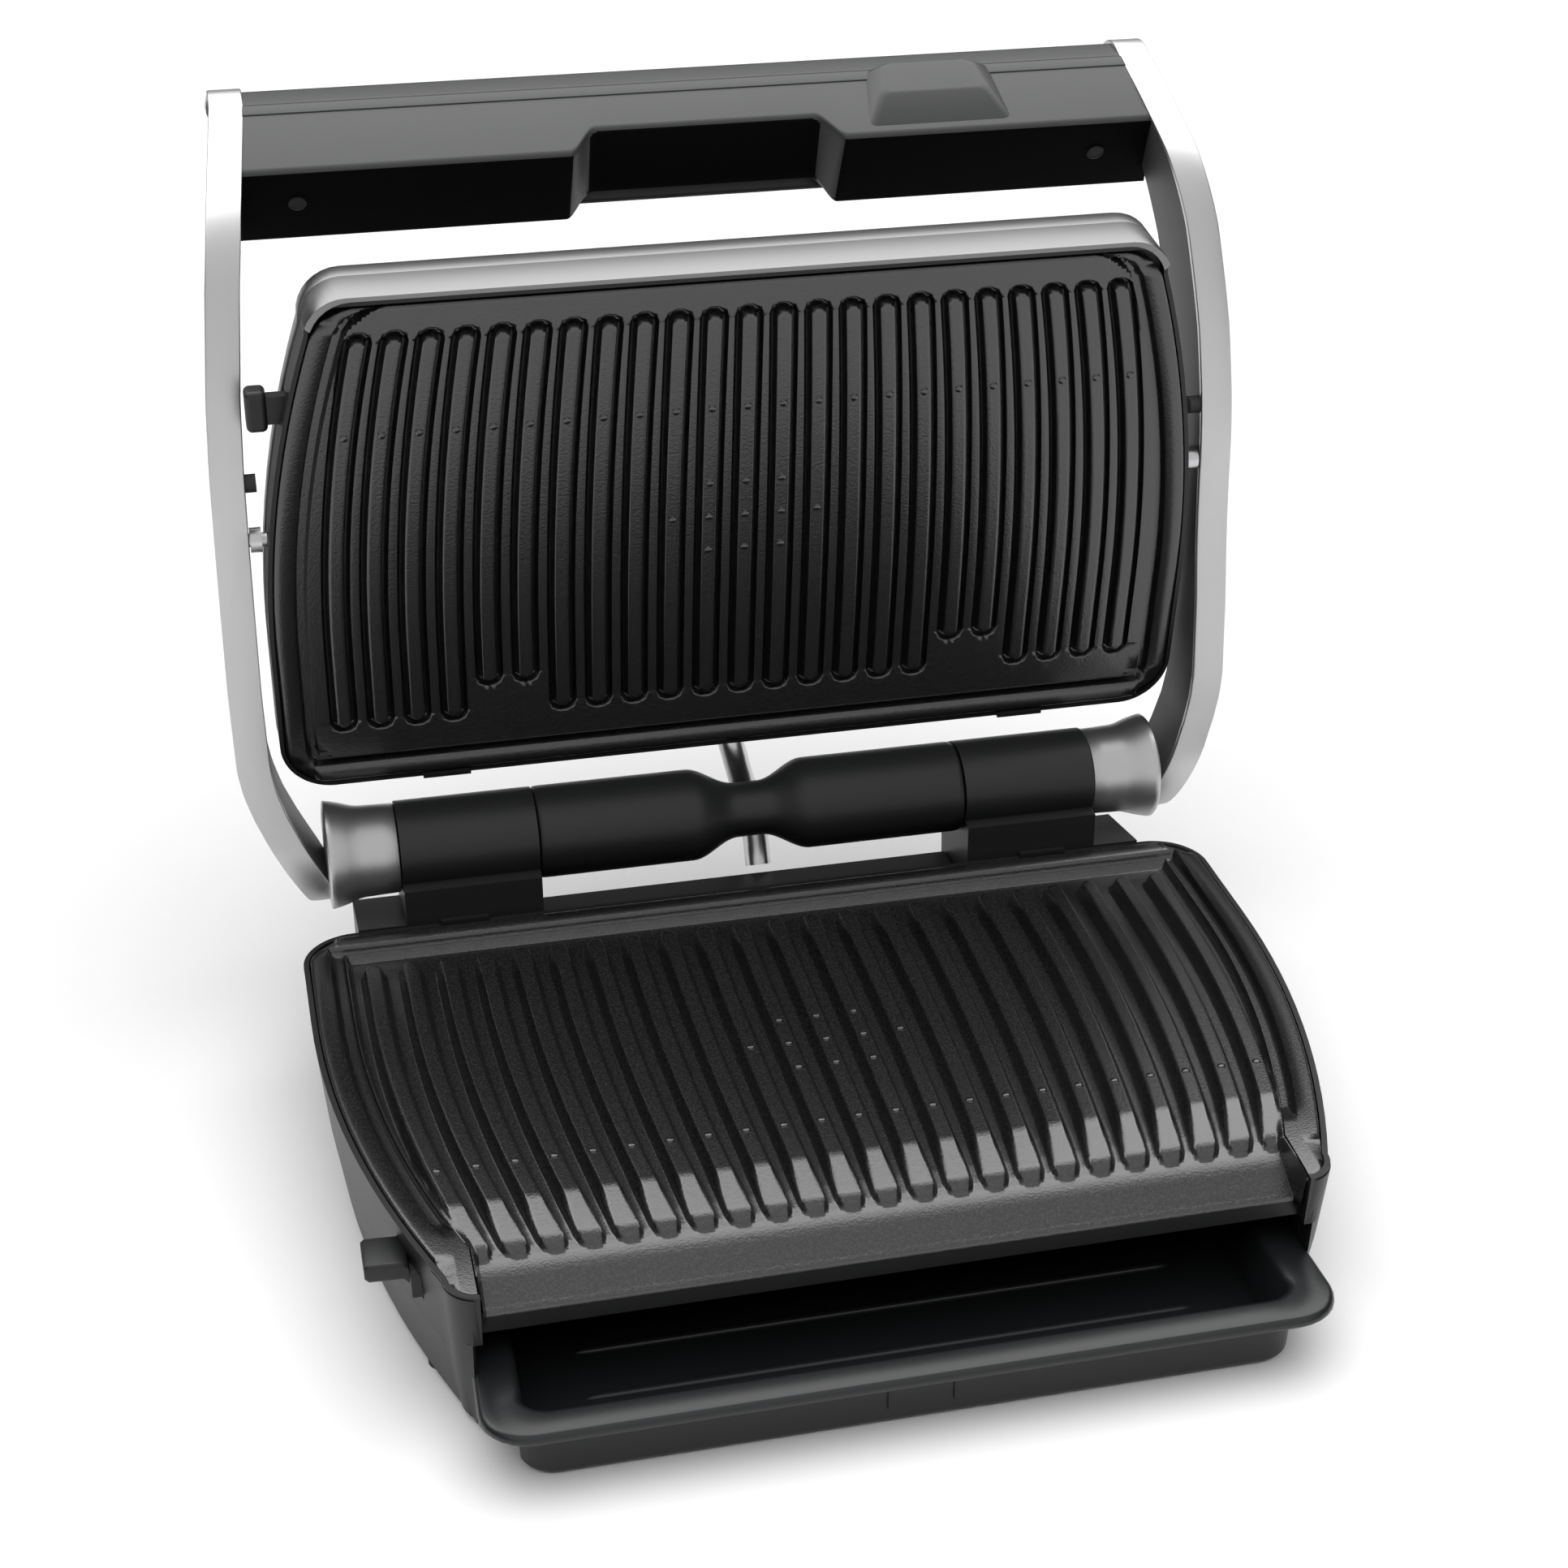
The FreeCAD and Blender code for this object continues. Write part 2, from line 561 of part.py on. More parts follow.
# panel frame: on the outer face of the handle, which points backward while the lid is open
panel_mid = V(0, (D[0] + E[0]) / 2.0, (D[1] + E[1]) / 2.0)
panel_up = V(0, E[0] - D[0], E[1] - D[1]).normalize()
panel_out = V(0, panel_up.z, -panel_up.y)


def on_panel(shape):
    """Move a shape drawn with its top face up (X across, Y up the panel) onto the panel."""
    frame = FreeCAD.Rotation(V(-1, 0, 0), panel_up, panel_out, "ZXY")
    out = shape.copy()
    out.Placement = FreeCAD.Placement(panel_mid, frame).multiply(out.Placement)
    return out


BUTTONS = {"power_button": -62.0, "program_button": 62.0}
LENS_HALF = 34.0
for name, x in BUTTONS.items():
    fascia = fascia.cut(on_panel(rod(7.3, (x, 0, -8), (x, 0, 2))))
fascia = fascia.cut(on_panel(block(-LENS_HALF - 0.1, LENS_HALF + 0.1, -9.1, 9.1, -8, 2)))
feature("handle_outer_cover", fascia)
for name, x in BUTTONS.items():
    cap = rod(7.0, (x, 0, -3.5), (x, 0, 1.6)).fuse(rod(3.0, (x, 0, -4.4), (x, 0, -3)))
    feature(name, on_panel(cap))
feature("indicator_lens", on_panel(block(-LENS_HALF, LENS_HALF, -9, 9, -3.0, 0.5)))
board = block(-80, 80, -10.5, 10.5, -7.4, -5.8)
feature("control_board", on_panel(board))
switches = [block(x - 3, x + 3, -3, 3, -5.8, -5.2) for x in BUTTONS.values()]
feature("tact_switches", on_panel(Part.makeCompound(switches)))

# ---------------------------------------------------------------- upper body, drawn face up and then turned
lean = math.radians(dim("upper_lean"))
toward_front = V(0, -math.sin(lean), math.cos(lean))
facing = V(0, -math.cos(lean), -math.sin(lean))
UPPER = FreeCAD.Placement(V(0, dim("upper_rear_y"), dim("upper_rear_z")),
                          FreeCAD.Rotation(V(-1, 0, 0), toward_front * -1, facing, "ZXY"))
up_depth = dim("upper_depth")
feature("upper_plate", cooking_plate(up_depth, dim("upper_rib_front")), UPPER)

conduit_mid = (3, hinge_y + 29.5, 100)
lower_route = [(9, hinge_y + 18, 57), (8.7, hinge_y + 28.36, 76), conduit_mid]
upper_route = [conduit_mid, (-2, hinge_y + 30.5, 121), (-5, hinge_y + 42, 129.5)]
beyond = (-6, hinge_y + 45.83, 132.33)
conduit_way = tube_path(upper_route[:-1] + [beyond], dim("conduit_radius") + 0.4)
conduit_way = placed(conduit_way, UPPER.inverse())
frame_ring = slab(0.4, up_depth, -20.0, -2.8).cut(slab(2.3, up_depth, -8.2, 0.0))
frame_ring = frame_ring.cut([slab(18.0, up_depth, -21.0, -7.0), slab(4.0, up_depth, -21.0, -11.5)])
button_hole = block(160, 214, -up_depth + 52 - 7, -up_depth + 52 + 7, -18.0, -11.0)
pivot_hole = rod(dim("pivot_radius") + dim("running_gap"), (-214, -127.3, -dim("pivot_depth")),
                 (214, -127.3, -dim("pivot_depth")))
bosses = [block(side * 201 - 6, side * 201 + 6, -133, -121, -19.9, -11.6) for side in (1, -1)]
frame_ring = frame_ring.fuse(bosses).cut([button_hole, pivot_hole, conduit_way])
feature("lid_frame", frame_ring, UPPER)
lid_hooks = [block(side * 138 - 11, side * 138 + 11, -2.3, -0.4, -2.75, -0.6) for side in (1, -1)]
feature("lid_plate_hooks", Part.makeCompound(lid_hooks), UPPER)

cover_low = -dim("cover_depth")
cover = drafted(26.0, 6.0, up_depth, cover_low, cover_low + 10)
cover = cover.fuse(drafted(6.0, 0.0, up_depth, cover_low + 10, -20.0))
cover = cover.cut(drafted(26.0, 9.0, up_depth, cover_low + 3, cover_low + 12.5))
cover = cover.cut(drafted(9.0, 3.2, up_depth, cover_low + 12.4, -19.9))
front_wall = block(-184, 184, -up_depth - 3.0, -up_depth - 0.1, -22.0, -0.5)
front_wall = front_wall.fuse(block(-184, 184, -up_depth - 3.0, -up_depth + 3.0, -36.0, -20.5))
front_wall = front_wall.cut(drafted(9.0, 3.2, up_depth, cover_low + 12.4, -19.9))
cover = cover.fuse(front_wall).cut(conduit_way)
feature("lid_cover", cover, UPPER)
feature("upper_reflector", reflector(up_depth, -26.0), UPPER)
feature("upper_heating_element", heating_element(up_depth, -16.5, 0), UPPER)
feature("upper_thermostat", rod(8.0, (0, -125, -30), (0, -125, -26.1)), UPPER)
upper_button = release_button(-213.3, -up_depth + 52, -14.5, 19.0)
feature("upper_release_button", mirrored(upper_button), UPPER)
spring_seat = laid_along_x(coil_spring(0, 8), (175.0 - 8.8, -up_depth + 52, -14.5))
feature("upper_button_spring", spring_seat.copy(), UPPER.multiply(spring_seat.Placement))

lid_screws = []
for x in (-140.0, 140.0):
    for y in (-40.0, -200.0):
        lid_screws.append(rod(2.5, (x, y, cover_low + 3.05), (x, y, cover_low + 9)))
feature("lid_screws", Part.makeCompound(lid_screws), UPPER)

# ---------------------------------------------------------------- pivots between the arms and the upper body
pivot_y = dim("pivot_y")
pivot_z = dim("pivot_z")
PIVOT_INNER = 199.0
PIVOT_OUTER = 228.0
for side, word in ((1, "right"), (-1, "left")):
    pin = rod(dim("pivot_radius"), (side * PIVOT_INNER, pivot_y, pivot_z), (side * PIVOT_OUTER, pivot_y, pivot_z))
    collar = rod(5.5, (side * 211.5, pivot_y, pivot_z), (side * 216.5, pivot_y, pivot_z))
    feature("pivot_pin_" + word, pin.fuse(collar))
    stop = rod(4.0, (side * 211.5, pivot_y + 1, pivot_z + 26), (side * 224, pivot_y + 1, pivot_z + 26))
    feature("stop_post_" + word, stop)

# ---------------------------------------------------------------- cable conduit behind the waist
feature("conduit_lower", tube_path(lower_route, dim("conduit_radius")))
feature("conduit_upper", tube_path(upper_route, dim("conduit_radius")))

# ---------------------------------------------------------------- check and write
DOC.recompute()
os.makedirs("parts", exist_ok=True)
for obj in DOC.Objects:
    if "Invalid" in obj.State or "Error" in obj.State:
        raise RuntimeError("failed object: " + obj.Name)
for name, obj in NODES.items():
    shape = obj.Shape
    if shape.isNull() or not shape.isValid() or not shape.Solids:
        raise RuntimeError("bad shape: " + name)
for name, obj in NODES.items():
    obj.Shape.exportStep("parts/%s.step" % name)
    box = obj.Shape.BoundBox
    print("%-24s solids %d  x %.1f %.1f  y %.1f %.1f  z %.1f %.1f" % (
        name, len(obj.Shape.Solids), box.XMin, box.XMax, box.YMin, box.YMax, box.ZMin, box.ZMax))
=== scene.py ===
import bmesh
import bpy
import json
import math
import numpy as np
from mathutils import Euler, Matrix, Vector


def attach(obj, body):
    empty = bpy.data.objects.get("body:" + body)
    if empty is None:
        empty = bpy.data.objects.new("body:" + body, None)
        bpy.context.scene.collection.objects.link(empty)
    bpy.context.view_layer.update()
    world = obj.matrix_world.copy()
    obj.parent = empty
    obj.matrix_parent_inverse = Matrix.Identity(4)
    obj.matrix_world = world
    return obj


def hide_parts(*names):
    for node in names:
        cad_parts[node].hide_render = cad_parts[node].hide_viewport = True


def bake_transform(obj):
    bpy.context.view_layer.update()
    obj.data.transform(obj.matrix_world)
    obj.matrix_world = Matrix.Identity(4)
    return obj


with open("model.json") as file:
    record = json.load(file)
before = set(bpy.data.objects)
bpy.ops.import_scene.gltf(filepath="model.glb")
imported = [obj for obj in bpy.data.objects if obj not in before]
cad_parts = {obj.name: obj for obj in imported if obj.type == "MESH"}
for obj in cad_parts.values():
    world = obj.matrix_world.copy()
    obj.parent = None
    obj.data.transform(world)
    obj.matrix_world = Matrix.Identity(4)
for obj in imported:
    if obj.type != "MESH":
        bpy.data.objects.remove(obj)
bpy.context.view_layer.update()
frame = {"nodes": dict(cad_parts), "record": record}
NODES = frame["nodes"]
MM = 0.001


# ---------------------------------------------------------------- materials
def shader(name, color, rough, metal=0.0, spec=0.5):
    mat = bpy.data.materials.new(name)
    mat.use_nodes = True
    b = mat.node_tree.nodes["Principled BSDF"]
    b.inputs["Base Color"].default_value = (color[0], color[1], color[2], 1.0)
    b.inputs["Roughness"].default_value = rough
    b.inputs["Metallic"].default_value = metal
    b.inputs["Specular IOR Level"].default_value = spec
    return mat


def add_bump(mat, scale, strength, distance=0.0002, detail=2.0, stretch=None):
    """Fine surface grain from noise, in object coordinates."""
    tree = mat.node_tree
    b = tree.nodes["Principled BSDF"]
    coord = tree.nodes.new("ShaderNodeTexCoord")
    mapping = tree.nodes.new("ShaderNodeMapping")
    if stretch:
        mapping.inputs["Scale"].default_value = stretch
    noise = tree.nodes.new("ShaderNodeTexNoise")
    noise.inputs["Scale"].default_value = scale
    noise.inputs["Detail"].default_value = detail
    bump = tree.nodes.new("ShaderNodeBump")
    bump.inputs["Strength"].default_value = strength
    bump.inputs["Distance"].default_value = distance
    tree.links.new(coord.outputs["Object"], mapping.inputs["Vector"])
    tree.links.new(mapping.outputs["Vector"], noise.inputs["Vector"])
    tree.links.new(noise.outputs["Fac"], bump.inputs["Height"])
    tree.links.new(bump.outputs["Normal"], b.inputs["Normal"])
    return noise


def add_speckle(mat, dark, light, scale, low=0.45, high=0.62):
    """A mottled colour: dark ground with small lighter flecks."""
    tree = mat.node_tree
    b = tree.nodes["Principled BSDF"]
    coord = tree.nodes.new("ShaderNodeTexCoord")
    noise = tree.nodes.new("ShaderNodeTexNoise")
    noise.inputs["Scale"].default_value = scale
    noise.inputs["Detail"].default_value = 3.0
    ramp = tree.nodes.new("ShaderNodeValToRGB")
    ramp.color_ramp.elements[0].position = low
    ramp.color_ramp.elements[0].color = (*dark, 1)
    ramp.color_ramp.elements[1].position = high
    ramp.color_ramp.elements[1].color = (*light, 1)
    tree.links.new(coord.outputs["Object"], noise.inputs["Vector"])
    tree.links.new(noise.outputs["Fac"], ramp.inputs["Fac"])
    tree.links.new(ramp.outputs["Color"], b.inputs["Base Color"])


black = shader("black_shell", (0.006, 0.0062, 0.0065), 0.42, spec=0.4)
add_bump(black, 2600, 0.12)
tray_black = shader("tray_black", (0.006, 0.0065, 0.007), 0.33, spec=0.45)
add_bump(tray_black, 2200, 0.05)
handle_black = shader("handle_black", (0.012, 0.0125, 0.0128), 0.5, spec=0.62)
add_bump(handle_black, 2600, 0.12)
# a darker, almost unreflective copy of the handle plastic: painted shade for the handle's lower face
handle_underside_painted_shade = shader("handle_underside_painted_shade", (0.003, 0.003, 0.003), 0.6, spec=0.03)
silver = shader("brushed_silver", (0.52, 0.52, 0.52), 0.4, metal=1.0)
add_bump(silver, 1800, 0.06, stretch=(1, 1, 0.04))
liner_grey = shader("liner_grey", (0.05, 0.05, 0.052), 0.5, metal=0.3)
lid_silver = shader("lid_silver", (0.2, 0.2, 0.2), 0.36, metal=1.0)
add_bump(lid_silver, 1500, 0.05, stretch=(0.04, 1, 1))
nonstick = shader("nonstick", (0.01, 0.01, 0.01), 0.27, spec=1.0)
add_speckle(nonstick, (0.002, 0.002, 0.002), (0.010, 0.010, 0.0102), 1100)
add_bump(nonstick, 1000, 0.42, distance=0.00022)
steel = shader("steel", (0.55, 0.55, 0.56), 0.3, metal=1.0)
reflector_metal = shader("reflector_metal", (0.7, 0.7, 0.71), 0.35, metal=1.0)
chrome = shader("conduit_chrome", (0.6, 0.6, 0.61), 0.3, metal=1.0)
rubber = shader("rubber", (0.012, 0.012, 0.012), 0.7)
button_grey = shader("button_grey", (0.04, 0.04, 0.042), 0.4)
lens = shader("lens", (0.02, 0.03, 0.04), 0.1)
board = shader("board", (0.01, 0.08, 0.03), 0.5)
# near-black material that paints the shade inside recesses: the screw wells and the edges of the tray's front inset
dark = shader("recess_painted_shade", (0.004, 0.004, 0.004), 0.6)

MATS = {
    "black_shell": black, "tray_black": tray_black, "handle_black": handle_black, "brushed_silver": silver,
    "lid_silver": lid_silver, "nonstick": nonstick, "steel": steel, "reflector_metal": reflector_metal,
    "conduit_chrome": chrome, "rubber": rubber, "button_grey": button_grey, "lens": lens, "board": board,
}
SLOT = {s["node"]: s["material_slot"] for s in frame["record"]["subparts"]}
for name, obj in NODES.items():
    obj.data.materials.clear()
    obj.data.materials.append(MATS[SLOT[name]])


# ---------------------------------------------------------------- mesh helpers
def mesh_piece(name, verts, faces, mat, body, replaces=(), smooth=True, angle=None):
    data = bpy.data.meshes.new(name)
    data.from_pydata([tuple(v) for v in verts], [], [tuple(f) for f in faces])
    data.update()
    obj = bpy.data.objects.new(name, data)
    bpy.context.scene.collection.objects.link(obj)
    data.materials.append(mat)
    if smooth:
        data.polygons.foreach_set("use_smooth", [True] * len(data.polygons))
    if angle is not None:
        data.set_sharp_from_angle(angle=math.radians(angle))
    if body:
        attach(obj, body)
    if replaces:
        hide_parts(*replaces)
    return obj


# ---------------------------------------------------------------- plates
# outline shared by the bodies and plates: half width, where the sides start to bow in, the bow's radius
HALF, BOW_START, BOW_R = 213.0, 71.0, 500.0
REAR_CORNER, FRONT_CORNER = 24.0, 14.0
# ribs: pitch at the rear, the length that sets how the bow narrows it, ribs on each side of the middle one
PITCH, BOW_LEN = 16.65, 494.0
RIBS = 11
SHORT_RIBS = (6, 7)
RIB_REAR, SHORT_REAR = -36.5, -54.0
PLATE_INSET = 2.8
# levels below the rib tops
RIM_LEVEL, FLOOR_LEVEL, LIP_LEVEL = -1.8, -6.4, -2.4
# the lower plate's front: where its lip runs straight, where the rim's corners turn in, how wide the lip is
BOW_END, CORNER_START, CORNER_LENGTH, LIP_HALF = -240.0, -252.0, 14.2, 166.4
LIP_INSET = 16.2

# height of a rib, 1 on its flat top and 0 on the floor, by distance from its middle line
RIB_D = [0, 2.7, 2.95, 3.2, 3.5, 5.45, 5.75, 6.05, 6.5]
RIB_H = [1, 1, 0.985, 0.93, 0.86, 0.12, 0.05, 0.012, 0]
# the wide-topped section that a lower rib has at its front end
TIP_D = [0, 4.3, 4.6, 4.9, 5.2, 5.9, 6.1, 6.3, 6.5]
# an upper rib in its deep narrow groove: distance from the middle line, and level
GROOVE_D = [2.7, 2.95, 3.2, 4.1, 4.5, 5.2, 5.6, 6.3, 6.7]
GROOVE_Z = [0, -0.12, -0.6, -4.9, -5.4, -5.4, -4.9, -1.9, -1.7]
# the apron that the lower plate's floor runs into: distance from the rear edge, and level
APRON_Y = [214, 226, 236, 243, 247, 251, 254, 257, 260, 263, 266.3]
APRON_Z = [-6.4, -6.7, -7.5, -8.6, -9.6, -10.9, -12.1, -13.4, -14.8, -16.1, -17.2]
# grid lines over the rim and channel, by distance in from the plate's edge
RIM_LINES = [0, 0.15, 0.5, 1.1, 2.0, 8.6, 9.2, 9.7, 10.2, 11.6, 12.4, 13.4, 14.0, 14.4, 15.0, 15.3, 15.6,
             16.2, 17.0, 18.2, 18.7]
# grid lines over a rib, by distance from its middle line
RIB_LINES = [0, 1.6, 2.7, 2.95, 3.2, 3.5, 4.5, 5.45, 5.75, 6.05, 6.4]
STUD_RADIUS, STUD_RISE, STUD_SINK = 1.9, 0.95, 0.1


def step01(t):
    """A smooth step from 0 to 1."""
    t = np.clip(t, 0.0, 1.0)
    return t * t * (3 - 2 * t)


def rib_scale(y):
    """How far the ribs have drawn together at y, 1 at the rear."""
    run = np.maximum(-BOW_START - y, 0.0)
    return 1.0 - (run / BOW_LEN) ** 2


def side_x(y, inset):
    """Half width of the outline at y, without its corners."""
    run = np.maximum(-BOW_START - y, 0.0)
    bow = BOW_R - inset
    return HALF - inset - (bow - np.sqrt(bow * bow - run * run))


def half_width_at(y, depth):
    """Half width of a plate's outline at y, with its rounded corners."""
    w = side_x(y, PLATE_INSET)
    radius = REAR_CORNER - PLATE_INSET
    into = np.clip(y - (-PLATE_INSET - radius), 0, radius)
    w = w - (radius - np.sqrt(np.maximum(radius * radius - into * into, 0)))
    into = np.clip((-depth + PLATE_INSET + FRONT_CORNER) - y, 0, FRONT_CORNER)
    return w - 1.15 * (FRONT_CORNER - np.sqrt(np.maximum(FRONT_CORNER * FRONT_CORNER - into * into, 0)))


def outer_at(y, depth, upper):
    """Half width of a plate at y. The lower plate's rim turns in at the front and its lip runs on past it."""
    if upper:
        return float(half_width_at(np.array([y]), depth)[0])
    # the corner is drawn below, so the outline is taken as if it ran on
    w = float(half_width_at(np.array([max(y, CORNER_START)]), 400.0)[0])
    if y < CORNER_START:
        t = min((CORNER_START - y) / CORNER_LENGTH, 1.0)
        w = LIP_HALF + (w - LIP_HALF) * math.sqrt(max(1 - t * t, 0.0))
    return w


def grid_rows(back, front, tip, upper):
    """Where the grid's rows lie, from the rear edge to the front, closest where the shape turns."""
    fine = 0.5
    front_lines = np.array([0, 0.3, 0.8, 1.6, 2.6, 4.2, 6, 8, 10, 12, 14])
    zones = [np.arange(-37, -29, fine), np.arange(tip - 7, tip + 2, fine),
             -PLATE_INSET - np.array(RIM_LINES[1:]), np.arange(back - 30, front, -4.0), front + front_lines]
    if upper:
        zones += [np.arange(-55, -47, fine), front + np.array(RIM_LINES[1:])]
    else:
        zones += [np.arange(-205, front, -1.6)]
    ys = np.unique(np.round(np.concatenate(zones + [np.array([back])]), 3))
    return ys[(ys <= back) & (ys >= front)][::-1]


def grid_columns(y, depth, upper):
    """Where the grid's columns lie at y: they follow the ribs, then the rim on each side."""
    w = outer_at(y, depth, upper)
    w_rim = float(side_x(np.array([y if upper else max(y, BOW_END)]), PLATE_INSET)[0])
    pitch = PITCH * float(rib_scale(np.array([y]))[0])
    lines = np.minimum(np.array(RIB_LINES), pitch / 2 - 0.1)
    xs = []
    for k in range(-RIBS, RIBS + 1):
        xs += list(k * pitch - lines[::-1][:-1]) + list(k * pitch + lines)
        if k < RIBS:
            xs.append((k + 0.5) * pitch)
    xs = np.array(xs)
    rim = np.array([v for v in RIM_LINES if v < (15.2 if upper else 19.0)])
    # columns that would cross each other close up instead, in tiny steps
    right = np.minimum(w_rim - rim[::-1], w)
    right = np.minimum(right, w - 0.004 * np.arange(len(right))[::-1])
    most = min(right[0] - 0.3, w - 0.5)
    count = np.arange(len(xs))
    xs = np.clip(xs, -most, most)
    xs = np.minimum(xs, most - 0.006 * (len(xs) - 1 - count))
    xs = np.maximum(xs, -most + 0.006 * count)
    return np.concatenate([-right[::-1], xs, right])


def upper_levels(Y, rib_distance, side_q, rear_q):
    """Levels of the upper plate, before its edge is rolled."""
    field = np.interp(rib_distance, GROOVE_D, GROOVE_Z)
    q = np.minimum(side_q, rear_q)
    channel = np.interp(q, [8.8, 9.4, 10.2, 13.6, 14.4], [0, 0.25, 1, 1, 0])
    edge = np.full_like(Y, RIM_LEVEL) * (1 - channel) + channel * FLOOR_LEVEL
    return np.where(q <= 14.2, edge, field)


def lower_levels(X, Y, rib_distance, rear_q):
    """Levels of the lower plate, before its edge is rolled."""
    # the rib tops slope down at the front, and widen
    floor = np.interp(-Y, APRON_Y, APRON_Z)
    run = np.maximum(-213.0 - Y, 0)
    top = -0.19 * np.maximum(run - 3.0, 0) - 0.03 * np.minimum(run, 3.0) ** 2
    top = top - 0.045 * np.maximum(-234.0 - Y, 0) ** 2
    wide = step01((-200.0 - Y) / 36.0)
    rise = np.interp(rib_distance, RIB_D, RIB_H) * (1 - wide) + np.interp(rib_distance, TIP_D, RIB_H) * wide
    field = floor + rise * (top - floor)
    # the flat rim, a channel inside it and the field's raised lip
    rim_half = side_x(np.maximum(Y, BOW_END), PLATE_INSET)
    q = np.minimum(rim_half - np.abs(X), rear_q)
    channel = np.interp(q, [8.8, 9.4, 10.4, 14.4, 15.3, 15.8], [0, 0.25, 1, 1, 0.2, 0])
    channel = channel * (1 - step01((-216.0 - Y) / 16.0))
    lip = np.interp(q, [15.0, 15.6, 16.3, 17.6, 18.6], [0, 1, 1, 0.15, 0])
    rim = RIM_LEVEL - 0.0015 * np.maximum(-232.0 - Y, 0.0) ** 2
    edge = rim * (1 - channel) + channel * FLOOR_LEVEL
    Z = np.where(q <= 15.3, edge, np.maximum(field, LIP_LEVEL * lip + field * (1 - lip)))
    Z = np.where(q > 18.6, field, Z)
    # at the front the field runs on as an apron between two small fences
    past = step01((BOW_END - Y) / 4.0)
    lip_x = rim_half - LIP_INSET
    Z = np.where(np.abs(X) < lip_x - 0.6, Z * (1 - past) + floor * past, Z)
    fence = step01(1.5 - np.abs(np.abs(X) - lip_x) / 0.9) * step01((-226.0 - Y) / 8.0)
    high = -2.6 - 0.014 * np.maximum(-234.0 - Y, 0) ** 2
    Z = np.where(np.abs(X) > lip_x, np.minimum(Z, np.maximum(high, rim)), Z)
    return Z + fence * np.maximum(high - Z, 0.0)


def add_skirt(verts, faces, loop, depth, upper):
    """Close a plate below with a skirt that steps in under its edge."""
    middle_y = -depth / 2
    prev = loop
    for shrink, down in ((1.0, -2.2), (0.99, -2.4), (0.93, -6.6)):
        ring = []
        for i in loop:
            x, y, z = verts[i]
            last = down < -3
            low = z + down
            if upper:
                low = max(z + (down + 3.0 if last else down), -15.0) - (3.0 if last else 0.0)
            # round the front the skirt goes in along Y only, so that it stays behind the apron
            at_apron = not upper and y < -236.0
            if at_apron and last:
                low = min(low, -21.0)
            narrow = 1 - (1 - shrink) * (0.12 if at_apron else 1.0)
            ring.append(len(verts))
            verts.append((x * narrow, middle_y + (y - middle_y) * shrink, low))
        for k in range(len(loop)):
            after = (k + 1) % len(loop)
            faces.append((prev[k], prev[after], ring[after], ring[k]))
        prev = ring
    centre = len(verts)
    verts.append((0, middle_y, -11.2))
    for k in range(len(loop)):
        faces.append((prev[k], prev[(k + 1) % len(loop)], centre))


def add_stud(verts, faces, x, y):
    """A small round stud on a rib top."""
    first, n, rings = len(verts), 14, 4
    for j in range(rings):
        a = (math.pi / 2) * j / rings
        for i in range(n):
            t = 2 * math.pi * i / n
            verts.append((x + STUD_RADIUS * math.cos(a) * math.cos(t), y + STUD_RADIUS * math.cos(a) * math.sin(t),
                          -STUD_SINK + STUD_RISE * math.sin(a)))
    verts.append((x, y, STUD_RISE - STUD_SINK))
    for j in range(rings - 1):
        row, above = first + j * n, first + (j + 1) * n
        for i in range(n):
            after = (i + 1) % n
            faces.append((row + i, row + after, above + after, above + i))
    row = first + (rings - 1) * n
    for i in range(n):
        faces.append((row + i, row + (i + 1) % n, first + rings * n))


